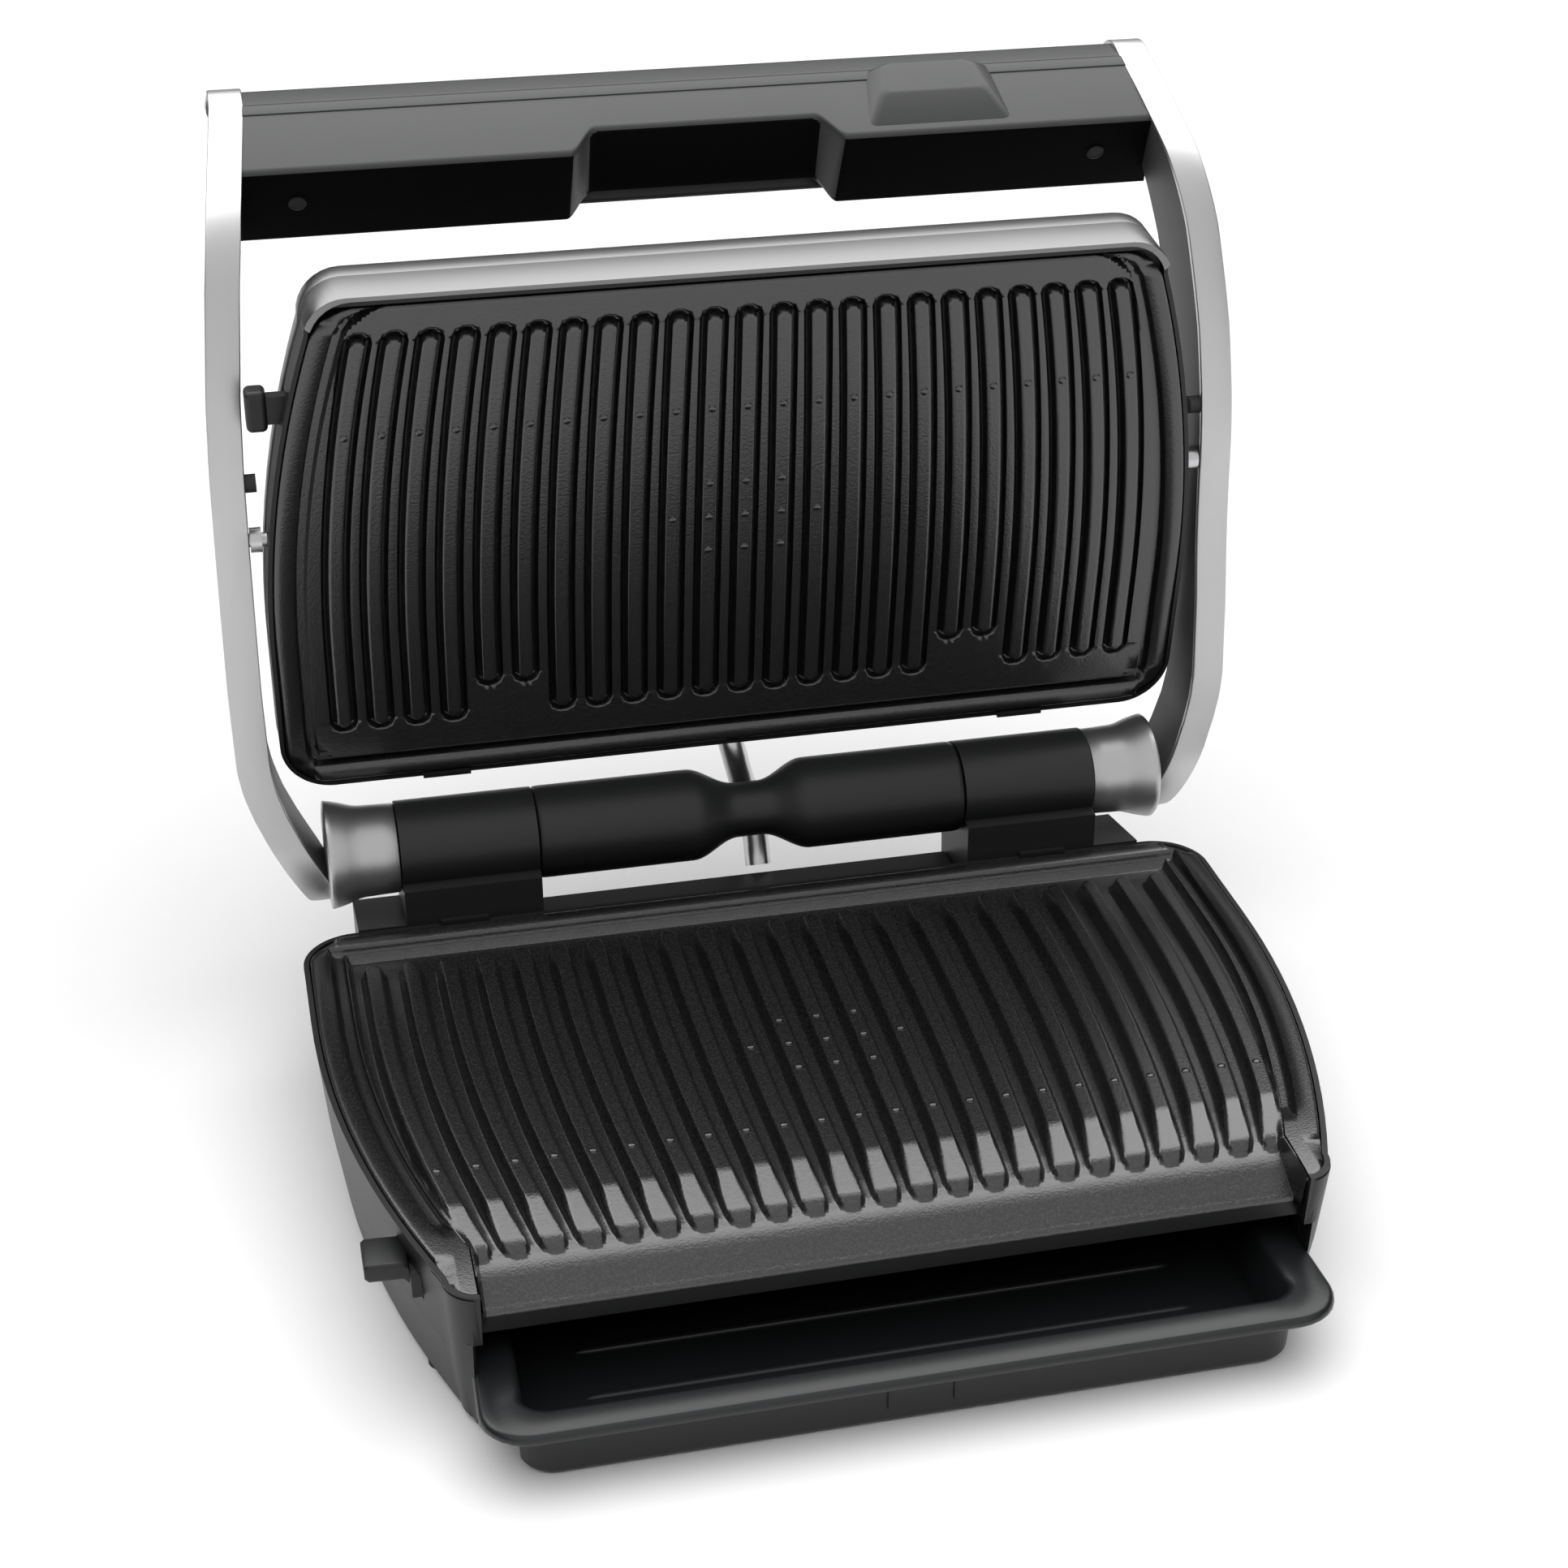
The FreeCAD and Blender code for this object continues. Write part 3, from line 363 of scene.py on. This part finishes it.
def plate(name, body, node, depth, rib_front, studs, place, upper):
    """A cast cooking plate over a fine grid in its own frame, rib tops at z = 0, rear edge on y = 0."""
    back, front = -PLATE_INSET - 0.02, -depth + PLATE_INSET + 0.02
    tip = -rib_front + (6.0 if upper else 9.0)
    ys = grid_rows(back, front, tip, upper)
    X = np.array([grid_columns(y, depth, upper) for y in ys])
    Y = np.repeat(ys[:, None], X.shape[1], axis=1)
    # distance from the nearest rib's middle line, which is a straight run with round ends
    rib_no = np.clip(np.round(X / (PITCH * rib_scale(Y))), -RIBS, RIBS)
    rear = np.full_like(X, RIB_REAR)
    if upper:
        rear[np.isin(np.abs(rib_no), SHORT_RIBS)] = SHORT_REAR
    over = np.maximum(Y - rear, 0.0) + np.maximum(tip - Y, 0.0) * (1.0 if upper else 0.7)
    rib_distance = np.hypot(X - rib_no * PITCH * rib_scale(Y), over)
    side_q = np.array([outer_at(y, depth, upper) for y in ys])[:, None] - np.abs(X)
    rear_q, front_q = back - Y, Y - front
    if upper:
        Z = upper_levels(Y, rib_distance, side_q, rear_q)
        sharp_edge = 1.0
    else:
        Z = lower_levels(X, Y, rib_distance, rear_q)
        sharp_edge = np.where((np.abs(X) < 164.5) & (front_q < side_q), 0.1, 1.0)
        # the apron ends short of the rim's front corners, so its rows are drawn closer together
        short = step01((164.0 - np.abs(X)) / 1.6)
        Y = np.where(Y < BOW_END, BOW_END - (BOW_END - Y) * (1 - 0.22 * short), Y)
    roll = np.clip(1 - np.minimum(np.minimum(side_q, rear_q), front_q) / 1.6, 0, 1)
    Z = Z - (1 - np.sqrt(np.maximum(1 - roll ** 2, 0))) * 1.5 * sharp_edge
    rows, columns = X.shape
    verts = [tuple(p) for p in np.stack([X, Y, Z], axis=2).reshape(-1, 3)]
    faces = []
    for r in range(rows - 1):
        a, b = r * columns, (r + 1) * columns
        for c in range(columns - 1):
            faces.append((a + c, b + c, b + c + 1, a + c + 1))
    loop = list(range(columns))
    loop += [r * columns + columns - 1 for r in range(1, rows)]
    loop += [(rows - 1) * columns + c for c in range(columns - 2, -1, -1)]
    loop += [r * columns for r in range(rows - 2, 0, -1)]
    add_skirt(verts, faces, loop, depth, upper)
    for k, y in studs:
        add_stud(verts, faces, k * PITCH * float(rib_scale(np.array([y]))[0]), y)
    return mesh_piece(name, [place(v) for v in verts], faces, nonstick, body, replaces=(node,),
                      angle=60)


def stud_places(row_y, block_ys, outer_y):
    """One stud on each rib, and a small block of them in the middle."""
    row = [(k, row_y) for k in range(-RIBS, RIBS + 1)]
    block = [(k, y) for k in (-1, 0, 1) for y in block_ys]
    return row + block + [(-2, outer_y), (2, outer_y)]


LOWER_Y, LOWER_Z = 77.0, 73.8


def place_lower(v):
    return (v[0] * MM, (v[1] + LOWER_Y) * MM, (v[2] + LOWER_Z) * MM)


LEAN = math.radians(7.9)
TOWARD = Vector((0, -math.sin(LEAN), math.cos(LEAN)))
FACING = Vector((0, -math.cos(LEAN), -math.sin(LEAN)))
UPPER_AT = Vector((0, 118.9, 123.4))


def place_upper(v):
    p = UPPER_AT + Vector((-v[0], 0, 0)) - TOWARD * v[1] + FACING * v[2]
    return (p.x * MM, p.y * MM, p.z * MM)


plate("lower_plate_cast", "base", "lower_plate", 269.0, 243.0, stud_places(-191.0, (-116.0, -134.0, -152.0), -133.5),
      place_lower, False)
plate("upper_plate_cast", "lid", "upper_plate", 243.0, 228.5, stud_places(-181.5, (-144.5, -127.5, -110.5), -127.5),
      place_upper, True)


# ---------------------------------------------------------------- lofts
def loft(name, rings, mat, body, replaces=(), caps=(True, True), angle=40):
    """A skin over rings of equal length; rings are lists of (x, y, z) in millimetres."""
    n = len(rings[0])
    verts = [tuple(c * MM for c in p) for ring in rings for p in ring]
    faces = []
    for r in range(len(rings) - 1):
        for i in range(n):
            j = (i + 1) % n
            faces.append((r * n + i, r * n + j, (r + 1) * n + j, (r + 1) * n + i))
    if caps[0]:
        faces.append(tuple(range(n))[::-1])
    if caps[1]:
        faces.append(tuple((len(rings) - 1) * n + i for i in range(n)))
    obj = mesh_piece(name, verts, faces, mat, body, replaces=replaces, angle=angle)
    bm = bmesh.new()
    bm.from_mesh(obj.data)
    bmesh.ops.recalc_face_normals(bm, faces=bm.faces)
    bm.to_mesh(obj.data)
    bm.free()
    if angle is not None:
        obj.data.set_sharp_from_angle(angle=math.radians(angle))
    return obj


def round_poly(points, radii, seg=6):
    """A closed polygon in two dimensions with a fillet at each corner."""
    out = []
    n = len(points)
    for i in range(n):
        p0, p1, p2 = (np.array(points[(i + k) % n], float) for k in (-1, 0, 1))
        r = radii[i] if isinstance(radii, (list, tuple)) else radii
        a, b = p0 - p1, p2 - p1
        la, lb = np.linalg.norm(a), np.linalg.norm(b)
        a, b = a / la, b / lb
        half = math.acos(max(-1, min(1, float(a @ b)))) / 2
        t = min(r / math.tan(half), la * 0.45, lb * 0.45)
        rr = t * math.tan(half)
        c = p1 + (a + b) / np.linalg.norm(a + b) * (rr / math.sin(half))
        s, e = p1 + a * t - c, p1 + b * t - c
        a0, a1 = math.atan2(s[1], s[0]), math.atan2(e[1], e[0])
        d = (a1 - a0 + math.pi) % (2 * math.pi) - math.pi
        for k in range(seg + 1):
            ang = a0 + d * k / seg
            out.append((c[0] + rr * math.cos(ang), c[1] + rr * math.sin(ang)))
    return out


def revolve_x(name, profile, at, mat, body, replaces=(), seg=72, angle=40, caps=(True, True)):
    """A solid of revolution about a line along X through at = (y, z)."""
    rings = []
    for x, r in profile:
        rings.append([(x, at[0] + r * math.cos(2 * math.pi * i / seg), at[1] + r * math.sin(2 * math.pi * i / seg))
                      for i in range(seg)])
    return loft(name, rings, mat, body, replaces=replaces, angle=angle, caps=caps)


def spline(points, count):
    """A smooth line through points (Catmull-Rom), at count places."""
    p = np.array(points, float)
    p = np.vstack([2 * p[0] - p[1], p, 2 * p[-1] - p[-2]])
    n = len(p) - 3
    out = []
    for u in np.linspace(0, n, count):
        i = min(int(u), n - 1)
        t = u - i
        a, b, c, d = p[i:i + 4]
        out.append(0.5 * (2 * b + (c - a) * t + (2 * a - 5 * b + 4 * c - d) * t * t + (3 * b - a - 3 * c + d) * t ** 3))
    return np.array(out)


# ---------------------------------------------------------------- arms: a silver face band on a dark body
ARM_Z = [77.9, 92.0, 103.6, 114.0, 125.0, 136.0, 147.0, 182.0, 221.0, 253.0, 283.0, 313.5, 357.9, 385.6, 403.0, 417.6]
ARM_X = [189.7, 196.4, 202.3, 207.6, 212.6, 216.2, 218.0, 218.4, 217.7, 217.0, 216.2, 214.5, 210.0, 206.0, 202.5, 199.4]
ARM_FRONT = [(231, 412), (225, 418.6), (215, 421), (204, 418), (192, 412), (175, 402.5), (149, 385.6), (133, 366),
             (124, 342), (117, 313), (110.5, 270), (109.5, 240), (108, 215), (104, 182), (99, 147), (93, 125),
             (86.5, 108), (86, 94), (90, 84), (97, 78.5)]
ARM_REAR = [(232, 406), (231.5, 402), (230, 398), (226, 395), (219, 391), (205, 384), (184, 370), (171, 350),
            (163.5, 328), (158, 300), (153, 264), (149.5, 236), (146, 213), (141, 181), (134, 148), (128, 125),
            (123.5, 108), (121, 94), (114, 84), (104, 78.5)]


def arm_ring(f, r, x0, x1, inset, from_front, to_rear, bevel):
    """A cross-section between the arm's front and rear edges, from one depth to another."""
    f, r = np.array(f), np.array(r)
    d = (r - f) / np.linalg.norm(r - f)
    length = np.linalg.norm(r - f)
    a, b = from_front, (length + to_rear if to_rear <= 0 else to_rear)
    pts = round_poly([(x0 + inset, a), (x1 - inset, a), (x1 - inset, b), (x0 + inset, b)], bevel, 3)
    return [(x, f[0] + d[0] * s, f[1] + d[1] * s) for x, s in pts]


fronts = spline(ARM_FRONT, 120)
rears = spline(ARM_REAR, 120)
for side, word in ((1, "right"), (-1, "left")):
    band, core = [], []
    for f, r in zip(fronts, rears):
        x0 = float(np.interp(f[1], ARM_Z, ARM_X))
        x1 = x0 + 14.8
        b = arm_ring(f, r, x0, x1, 0.0, 0.0, 2.6, [0.7, 0.7, 0.2, 0.2])
        c = arm_ring(f, r, x0, x1, 0.35, 2.2, -0.1, [0.2, 0.2, 1.2, 1.2])
        band.append([(side * p[0], p[1], p[2]) for p in b])
        core.append([(side * p[0], p[1], p[2]) for p in c])
    loft("arm_band_" + word, band, silver, "arm_frame", replaces=("arm_" + word,))
    loft("arm_core_" + word, core, liner_grey, "arm_frame")

# ---------------------------------------------------------------- hinge line
HY, HZ = 102.0, 99.0
for side, word in ((1, "right"), (-1, "left")):
    prof = [(165.0, 19.5), (165.0, 20.2), (165.4, 20.6), (172, 20.8), (181, 21.1), (184, 21.6), (187, 22.6), (190, 23.6),
            (194, 24.6), (196.2, 25.0), (196.9, 24.5), (197.4, 20.0)]
    revolve_x("hub_shell_" + word, [(side * x, r) for x, r in prof], (HY, HZ), silver, "arm_frame",
              replaces=("hub_" + word,), angle=50)
tube = [(-100.8, 6.4), (-100.8, 20.4), (-100.0, 21.3), (-98, 21.5)]
for x in np.linspace(-31, 31, 41):
    t = min(max((abs(x) - 6.0) / 22.0, 0.0), 1.0)
    tube.append((float(x), 12.9 + 8.6 * t * t * (3 - 2 * t)))
tube += [(98, 21.5), (100.0, 21.3), (100.8, 20.4), (100.8, 6.4)]
revolve_x("hinge_tube_skin", tube, (HY, HZ), black, "arm_frame", replaces=("hinge_tube",), angle=50)

# ---------------------------------------------------------------- cable conduit, two fixed curved tubes
CONDUIT_R = 6.2
CONDUIT_MID = (3.0, HY + 29.5, 100.0)


def flexing_tube(name, points):
    """A round tube along a smooth curve through points."""
    path = spline(points, 25)
    rings = []
    for i, p in enumerate(path):
        ahead = Vector(path[min(i + 1, len(path) - 1)] - path[max(i - 1, 0)]).normalized()
        u = ahead.cross(Vector((1, 0, 0))).normalized()
        v = ahead.cross(u)
        turns = [2 * math.pi * k / 24 for k in range(24)]
        rings.append([tuple(Vector(p) + u * CONDUIT_R * math.cos(t) + v * CONDUIT_R * math.sin(t)) for t in turns])
    tube = loft(name + "_skin", rings, chrome, None, replaces=(name,))
    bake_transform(tube)


flexing_tube("conduit_lower", [(9.0, HY + 18.0, 57.0), (8.7, HY + 28.36, 76.0), CONDUIT_MID])
flexing_tube("conduit_upper", [CONDUIT_MID, (-2.0, HY + 30.5, 121.0), (-5.0, HY + 42.0, 129.5)])

# ---------------------------------------------------------------- handle, with a finger recess and a raised pad
A = np.array([201.3, 416.8])
B = np.array([167.5, 397.0])
C = np.array([189.0, 360.5])
AB = (B - A) / np.linalg.norm(B - A)
BC = (C - B) / np.linalg.norm(C - B)
IN = np.array([-BC[1], BC[0]])
IN = IN if IN @ (A - B) > 0 else -IN
OUT_AB = np.array([AB[1], -AB[0]])
OUT_AB = OUT_AB if OUT_AB[1] > 0 else -OUT_AB
SEAM_AT = 0.14


def handle_ring(x):
    t = min(max((62.5 - abs(x)) / 13.0, 0.0), 1.0)
    set_back = 14.0 * (t * t * (3 - 2 * t))
    # where the set-back lower face meets the inner face
    denom = AB @ IN
    b2 = B + AB * (set_back / denom)
    c2 = C + IN * set_back * 0.55 - BC * set_back * 0.95
    back_low = C + np.array([6.0, 4.0]) - BC * set_back * 0.6
    back_top = A + np.array([9.0, 0.2])
    pts = [tuple(A), tuple(b2), tuple(c2), tuple(back_low), tuple(back_top)]
    return round_poly(pts, [1.0, 3.2, 2.6, 1.0, 1.0], 6)



def to_arm(rings_in, gap=0.3):
    """Bring the ends of a bar against the inner faces of the arms."""
    out = []
    for ring in rings_in:
        out.append([((math.copysign(float(np.interp(z, ARM_Z, ARM_X)) + gap, x) if abs(x) > 200 else x), y, z)
                    for x, y, z in ring])
    return out


limit = 203.4
xs = sorted(set(np.round(np.concatenate([np.linspace(-limit, limit, 9), np.linspace(-64, -47, 18),
                                         np.linspace(47, 64, 18), [-45, -20, 0, 20, 45]]), 3)))
rings = [[(float(x), p[0], p[1]) for p in handle_ring(float(x))] for x in xs]
grip = loft("handle_inner_skin", to_arm(rings), handle_black, "arm_frame", replaces=("handle_inner_cover",),
            angle=50)
# the faces of the lower face take the darker copy, which is painted shade on that side of the handle
grip.data.materials.append(handle_underside_painted_shade)
for face in grip.data.polygons:
    if abs(face.normal.y * IN[0] + face.normal.z * IN[1]) > 0.85:
        face.material_index = 1

sect = round_poly([(203.0, 417.2), (219.0, 420.0), (231.0, 405.0), (222.0, 375.0), (195.0, 364.2), (206, 395)],
                  [1.5, 6.0, 6.0, 6.0, 2.0, 1.0], 6)
loft("handle_outer_skin", to_arm([[(x, p[0], p[1]) for p in sect] for x in (-limit, limit)]), handle_black, "arm_frame",
     replaces=("handle_outer_cover",), angle=40)
# a slim cap strip that runs along the top of the handle with a fine seam below it
strip = round_poly([tuple(A + OUT_AB * 0.5 + np.array([1.2, 0.7])), tuple(A + AB * 5.2 + OUT_AB * 0.5),
                    tuple(A + AB * 5.2 - OUT_AB * 3.0), tuple(A - OUT_AB * 3.0 + np.array([1.2, 0]))],
                   [1.4, 0.4, 0.3, 0.3], 4)
loft("handle_top_strip", to_arm([[(x, p[0], p[1]) for p in strip] for x in (-limit, limit)]), handle_black, "arm_frame",
     angle=40)


def on_inner(x, down, out):
    p = A + AB * down + OUT_AB * out
    return (x, p[0], p[1])


def pad_ring(grow, out, top, low):
    """A trapezoid outline on the handle's inner face."""
    pts = [(106.0 - 19.5 - grow, top), (106.0 + 20.5 + grow, top), (106.0 + 24.5 + grow, low), (106.0 - 24.5 - grow, low)]
    return [on_inner(x, d, out) for x, d in round_poly(pts, [3.0, 3.0, 3.0, 3.0], 5)]


loft("handle_pad", [pad_ring(9.0, -0.6, -0.5, 34.0), pad_ring(8.0, 0.3, -0.6, 33.0), pad_ring(2.2, 3.2, -0.8, 19.5),
                    pad_ring(0.0, 4.0, -0.4, 18.0), pad_ring(-2.0, 4.1, 1.0, 16.5)],
     handle_black, "arm_frame", angle=35)

# screw wells on the lower face: shallow cups in a near-black material that paints the shade inside the holes
for i, x in enumerate((-181.0, -38.0, 38.0, 181.0)):
    into = 14.0 if abs(x) < 60 else 0.0
    mid = (B + C) / 2 - BC * 2.0 + IN * (into - 0.25)
    axis = Vector((0, -IN[0], -IN[1]))
    side_v = Vector((1, 0, 0))
    up_v = axis.cross(side_v)
    rings = []
    for r, h in ((4.0, -0.1), (3.9, 0.45), (3.4, 0.5), (3.2, 0.2)):
        rings.append([tuple(Vector((x, mid[0], mid[1])) + (side_v * math.cos(2 * math.pi * k / 24) + up_v * math.sin(2 * math.pi * k / 24)) * r
                            + axis * h) for k in range(24)])
    loft("screw_well_%d" % i, rings, dark, "arm_frame", replaces=("handle_screws",) if i == 0 else ())

# ---------------------------------------------------------------- upper body cover


def outline_pts(inset, depth, front_r=14.0, rear_r=24.0, n_corner=8, n_side=14):
    """The body outline as points, from the front middle round to the front middle."""
    rear = -inset
    front = -depth + inset
    corner_y = front + front_r
    corner_x = float(side_x(np.array([corner_y]), inset)[0])
    right = []
    flat_x = corner_x - front_r * 0.95
    for k in range(5):
        right.append((flat_x * k / 5.0, front))
    for k in range(n_corner + 1):
        a = -math.pi / 2 + (math.pi / 2) * k / n_corner
        right.append((flat_x + (corner_x - flat_x) * math.cos(a), corner_y + front_r * math.sin(a)))
    rr = max(rear_r - inset, 3.0)
    ys = np.linspace(corner_y, rear - rr, n_side + 1)[1:]
    right += [(float(side_x(np.array([y]), inset)[0]), float(y)) for y in ys]
    half = HALF - inset
    for k in range(1, n_corner + 1):
        a = (math.pi / 2) * k / n_corner
        right.append((half - rr + rr * math.cos(a), rear - rr + rr * math.sin(a)))
    for k in range(1, 5):
        right.append(((half - rr) * (1 - k / 5.0), rear))
    left = [(-x, y) for x, y in right[:0:-1]]
    return right + [(0.0, rear)] + left


def to_upper(ring, z):
    out = []
    for x, y in ring:
        p = UPPER_AT + Vector((-x, 0, 0)) - TOWARD * y + FACING * z
        out.append((p.x, p.y, p.z))
    return out


DEPTH_UP = 243.0
cover_rings = []
for inset, z, extra in ((0.2, -20.3, 3.0), (0.0, -21.0, 3.0), (0.0, -30.0, 3.0), (0.5, -31.4, 3.0), (2.0, -32.6, 3.0),
                        (8.0, -34.6, 3.0), (9.0, -35.4, 3.0), (9.6, -38.0, 3.0), (11.0, -41.0, 3.0), (14.0, -45.0, 3.0),
                        (20.0, -49.5, 3.0), (26.0, -52.0, 3.0)):
    cover_rings.append(to_upper(outline_pts(inset, DEPTH_UP + extra, front_r=20.0), z))
loft("lid_cover_skin", cover_rings, lid_silver, "lid", replaces=("lid_cover",), angle=30)
# the front wall comes forward round the corners
wall_out = [p for p in outline_pts(0.0, DEPTH_UP + 3.0, front_r=20.0) if p[1] < -DEPTH_UP + 11.0]
wall_out.sort(key=lambda p: p[0])
wall_rings = []
for grow, z in ((-1.2, -0.2), (-0.3, -0.4), (0.0, -1.2), (0.0, -20.6)):
    wall_rings.append([(x * (1 + grow / 200.0), y - grow) for x, y in wall_out])
inner = [(x * 0.987, y + 2.2) for x, y in wall_out]
section = []
for (ring, z) in zip(wall_rings, (-0.2, -0.4, -1.2, -20.6)):
    section.append(to_upper(ring, z))
section.append(to_upper(inner, -20.6))
section.append(to_upper(inner, -0.2))
cols = list(zip(*section))
loft("lid_front_wall", [list(c) for c in cols], lid_silver, "lid", angle=30)

# ---------------------------------------------------------------- drip tray


def rect_ring(x, y0, y1, r, z, n=7):
    return [(px, py, z) for px, py in round_poly([(x, y0), (x, y1), (-x, y1), (-x, y0)], r, n)]


tray_rings = [rect_ring(147.0, -211.0, -57.0, 10.0, 0.4), rect_ring(149.6, -214.4, -54.4, 12.0, 1.2),
              rect_ring(151.0, -216.0, -53.0, 13.0, 3.4), rect_ring(152.0, -217.0, -52.6, 13.5, 24.0),
              rect_ring(152.6, -217.6, -52.4, 14.0, 26.6), rect_ring(162.0, -224.5, -47.0, 17.0, 27.0),
              rect_ring(164.8, -227.2, -45.0, 18.5, 27.2), rect_ring(165.8, -228.0, -44.2, 19.0, 28.4),
              rect_ring(165.6, -227.8, -44.4, 18.9, 30.0), rect_ring(164.8, -227.0, -45.0, 18.5, 31.2),
              rect_ring(163.6, -225.8, -45.8, 18.0, 31.7), rect_ring(153.0, -215.6, -52.6, 13.5, 31.9),
              rect_ring(151.4, -214.0, -53.8, 12.7, 31.4), rect_ring(150.0, -212.6, -55.0, 12.0, 29.6),
              rect_ring(148.4, -211.0, -56.4, 11.5, 7.0), rect_ring(146.6, -209.2, -58.0, 10.0, 3.6),
              rect_ring(143.0, -205.6, -61.6, 8.0, 2.6)]
tray_rings = [[(x * (1 + 0.028 * float(step01((-192.0 - y) / 14.0))), y, z) for x, y, z in ring] for ring in tray_rings]
loft("drip_tray_skin", tray_rings, tray_black, "drip_tray", replaces=("drip_tray",), angle=60)
for i, y in enumerate((-178.0, -150.0)):
    pts = []
    for x, w in ((-126, 0.2), (-124, 1.6), (-120, 2.2), (120, 2.2), (124, 1.6), (126, 0.2)):
        pts.append([(x, y + w * math.cos(a), 2.4 + w * 0.9 * math.sin(a)) for a in np.linspace(0, math.pi, 9)])
    loft("tray_bead_%d" % i, pts, tray_black, "drip_tray")
# thin near-black strips along the top and sides of the tray's small front inset: painted shade in the inset's edges
for i, (x0, x1, z0, z1) in enumerate(((-13.5, 13.5, 23.6, 24.1), (-13.5, -13.0, 9.0, 24.0), (13.0, 13.5, 9.0, 24.0))):
    box = [[(x0, -217.15, z0), (x1, -217.15, z0), (x1, -217.15, z1), (x0, -217.15, z1)],
           [(x0, -216.2, z0), (x1, -216.2, z0), (x1, -216.2, z1), (x0, -216.2, z1)]]
    loft("tray_inset_painted_shade_%d" % i, box, dark, "drip_tray")

# ---------------------------------------------------------------- base front corners and the side button
BASE_DEPTH = 269.0
for side, word in ((1, "right"), (-1, "left")):
    for part_no, (z0, z1, x_in) in enumerate(((4.3, 46.8, 168.4), (46.8, 69.6, 165.6))):
        rings = []
        for z in np.linspace(z0, z1, 7):
            inset = float(np.interp(z, [4.0, 34.0, 71.0], [6.8, 2.8, -0.2]))
            front_edge = -BASE_DEPTH + inset
            right = [p for p in outline_pts(inset, BASE_DEPTH, front_r=14.0, n_corner=12) if p[0] > x_in + 0.3 and p[1] < -BASE_DEPTH + 22.0]
            right = [p for p in right if p[1] > front_edge + 0.02]
            rear_y = -BASE_DEPTH + 22.0
            ring = [(x_in, rear_y), (x_in, front_edge + 1.4), (x_in + 0.4, front_edge + 0.5)] + right + \
                [(float(side_x(np.array([rear_y]), inset)[0]), rear_y)]
            ring = [(x, y) for x, y in ring]
            rings.append((z, ring))
        n = min(len(r) for _, r in rings)
        rings = [[(side * x, y + 77.0, z) for x, y in (r if len(r) == n else r[:3] + r[3 + len(r) - n:])] for z, r in rings]
        loft("base_corner_%s_%d" % (word, part_no), rings, black, "base", angle=35)

button = []
for x, y0, y1, z0, z1 in ((-176.0, -156.6, -134.4, 46.0, 58.2), (-188.0, -156.6, -134.4, 46.0, 58.2),
                          (-188.6, -155.0, -136.4, 52.0, 61.6), (-190.5, -155.0, -136.2, 54.6, 62.8),
                          (-203.8, -155.0, -136.0, 55.2, 63.4), (-205.4, -154.2, -136.8, 56.2, 62.6)):
    button.append([(x, y, z) for y, z in round_poly([(y0, z0), (y1, z0), (y1, z1), (y0, z1)], 1.8, 4)])
loft("lower_button_skin", button, black, "lower_release", replaces=("lower_release_button",), angle=35)

# ---------------------------------------------------------------- floor, light, camera
floor_data = bpy.data.meshes.new("floor")
floor_data.from_pydata([(-40, -40, 0), (40, -40, 0), (40, 40, 0), (-40, 40, 0)], [], [(0, 1, 2, 3)])
floor = bpy.data.objects.new("floor", floor_data)
bpy.context.scene.collection.objects.link(floor)
floor_mat = shader("floor_white", (0.5, 0.5, 0.5), 0.9, spec=0.0)
floor_data.materials.append(floor_mat)

world = bpy.data.worlds.new("studio")
bpy.context.scene.world = world
world.use_nodes = True
world.node_tree.nodes["Background"].inputs["Color"].default_value = (1, 1, 1, 1)
world.node_tree.nodes["Background"].inputs["Strength"].default_value = 0.04

sky = bpy.data.lights.new("overhead", "SUN")
sky.energy = 6.9
sky.angle = math.radians(84)
overhead = bpy.data.objects.new("overhead", sky)
overhead.rotation_euler = Euler((math.radians(8), 0.0, 0.0), "XYZ")
bpy.context.scene.collection.objects.link(overhead)
overhead.visible_glossy = False

fill = bpy.data.lights.new("front_fill", "SUN")
fill.energy = 1.45
fill.angle = math.radians(100)
front_fill = bpy.data.objects.new("front_fill", fill)
front_fill.rotation_euler = Euler((math.radians(48), 0.0, 0.0), "XYZ")
bpy.context.scene.collection.objects.link(front_fill)
front_fill.visible_diffuse = False

box = bpy.data.lights.new("rear_box", "AREA")
box.shape = "RECTANGLE"
box.size, box.size_y = 3.4, 1.3
box.energy = 50.0
rear_box = bpy.data.objects.new("rear_box", box)
rear_box.location = (0.0, 0.75, 1.5)
bpy.context.scene.collection.objects.link(rear_box)
rear_box.visible_diffuse = False

camera_data = bpy.data.cameras.new("camera")
camera_data.sensor_width = 36.0
camera_data.lens = 62.29
camera_data.clip_start = 0.05
camera = bpy.data.objects.new("camera", camera_data)
camera.location = (-0.2305, -0.9907, 0.7241)
camera.rotation_euler = Euler((math.radians(61.277), 0.0, math.radians(-12.80)), "XYZ")
bpy.context.scene.collection.objects.link(camera)
bpy.context.scene.camera = camera
bpy.context.scene.view_settings.view_transform = "Standard"
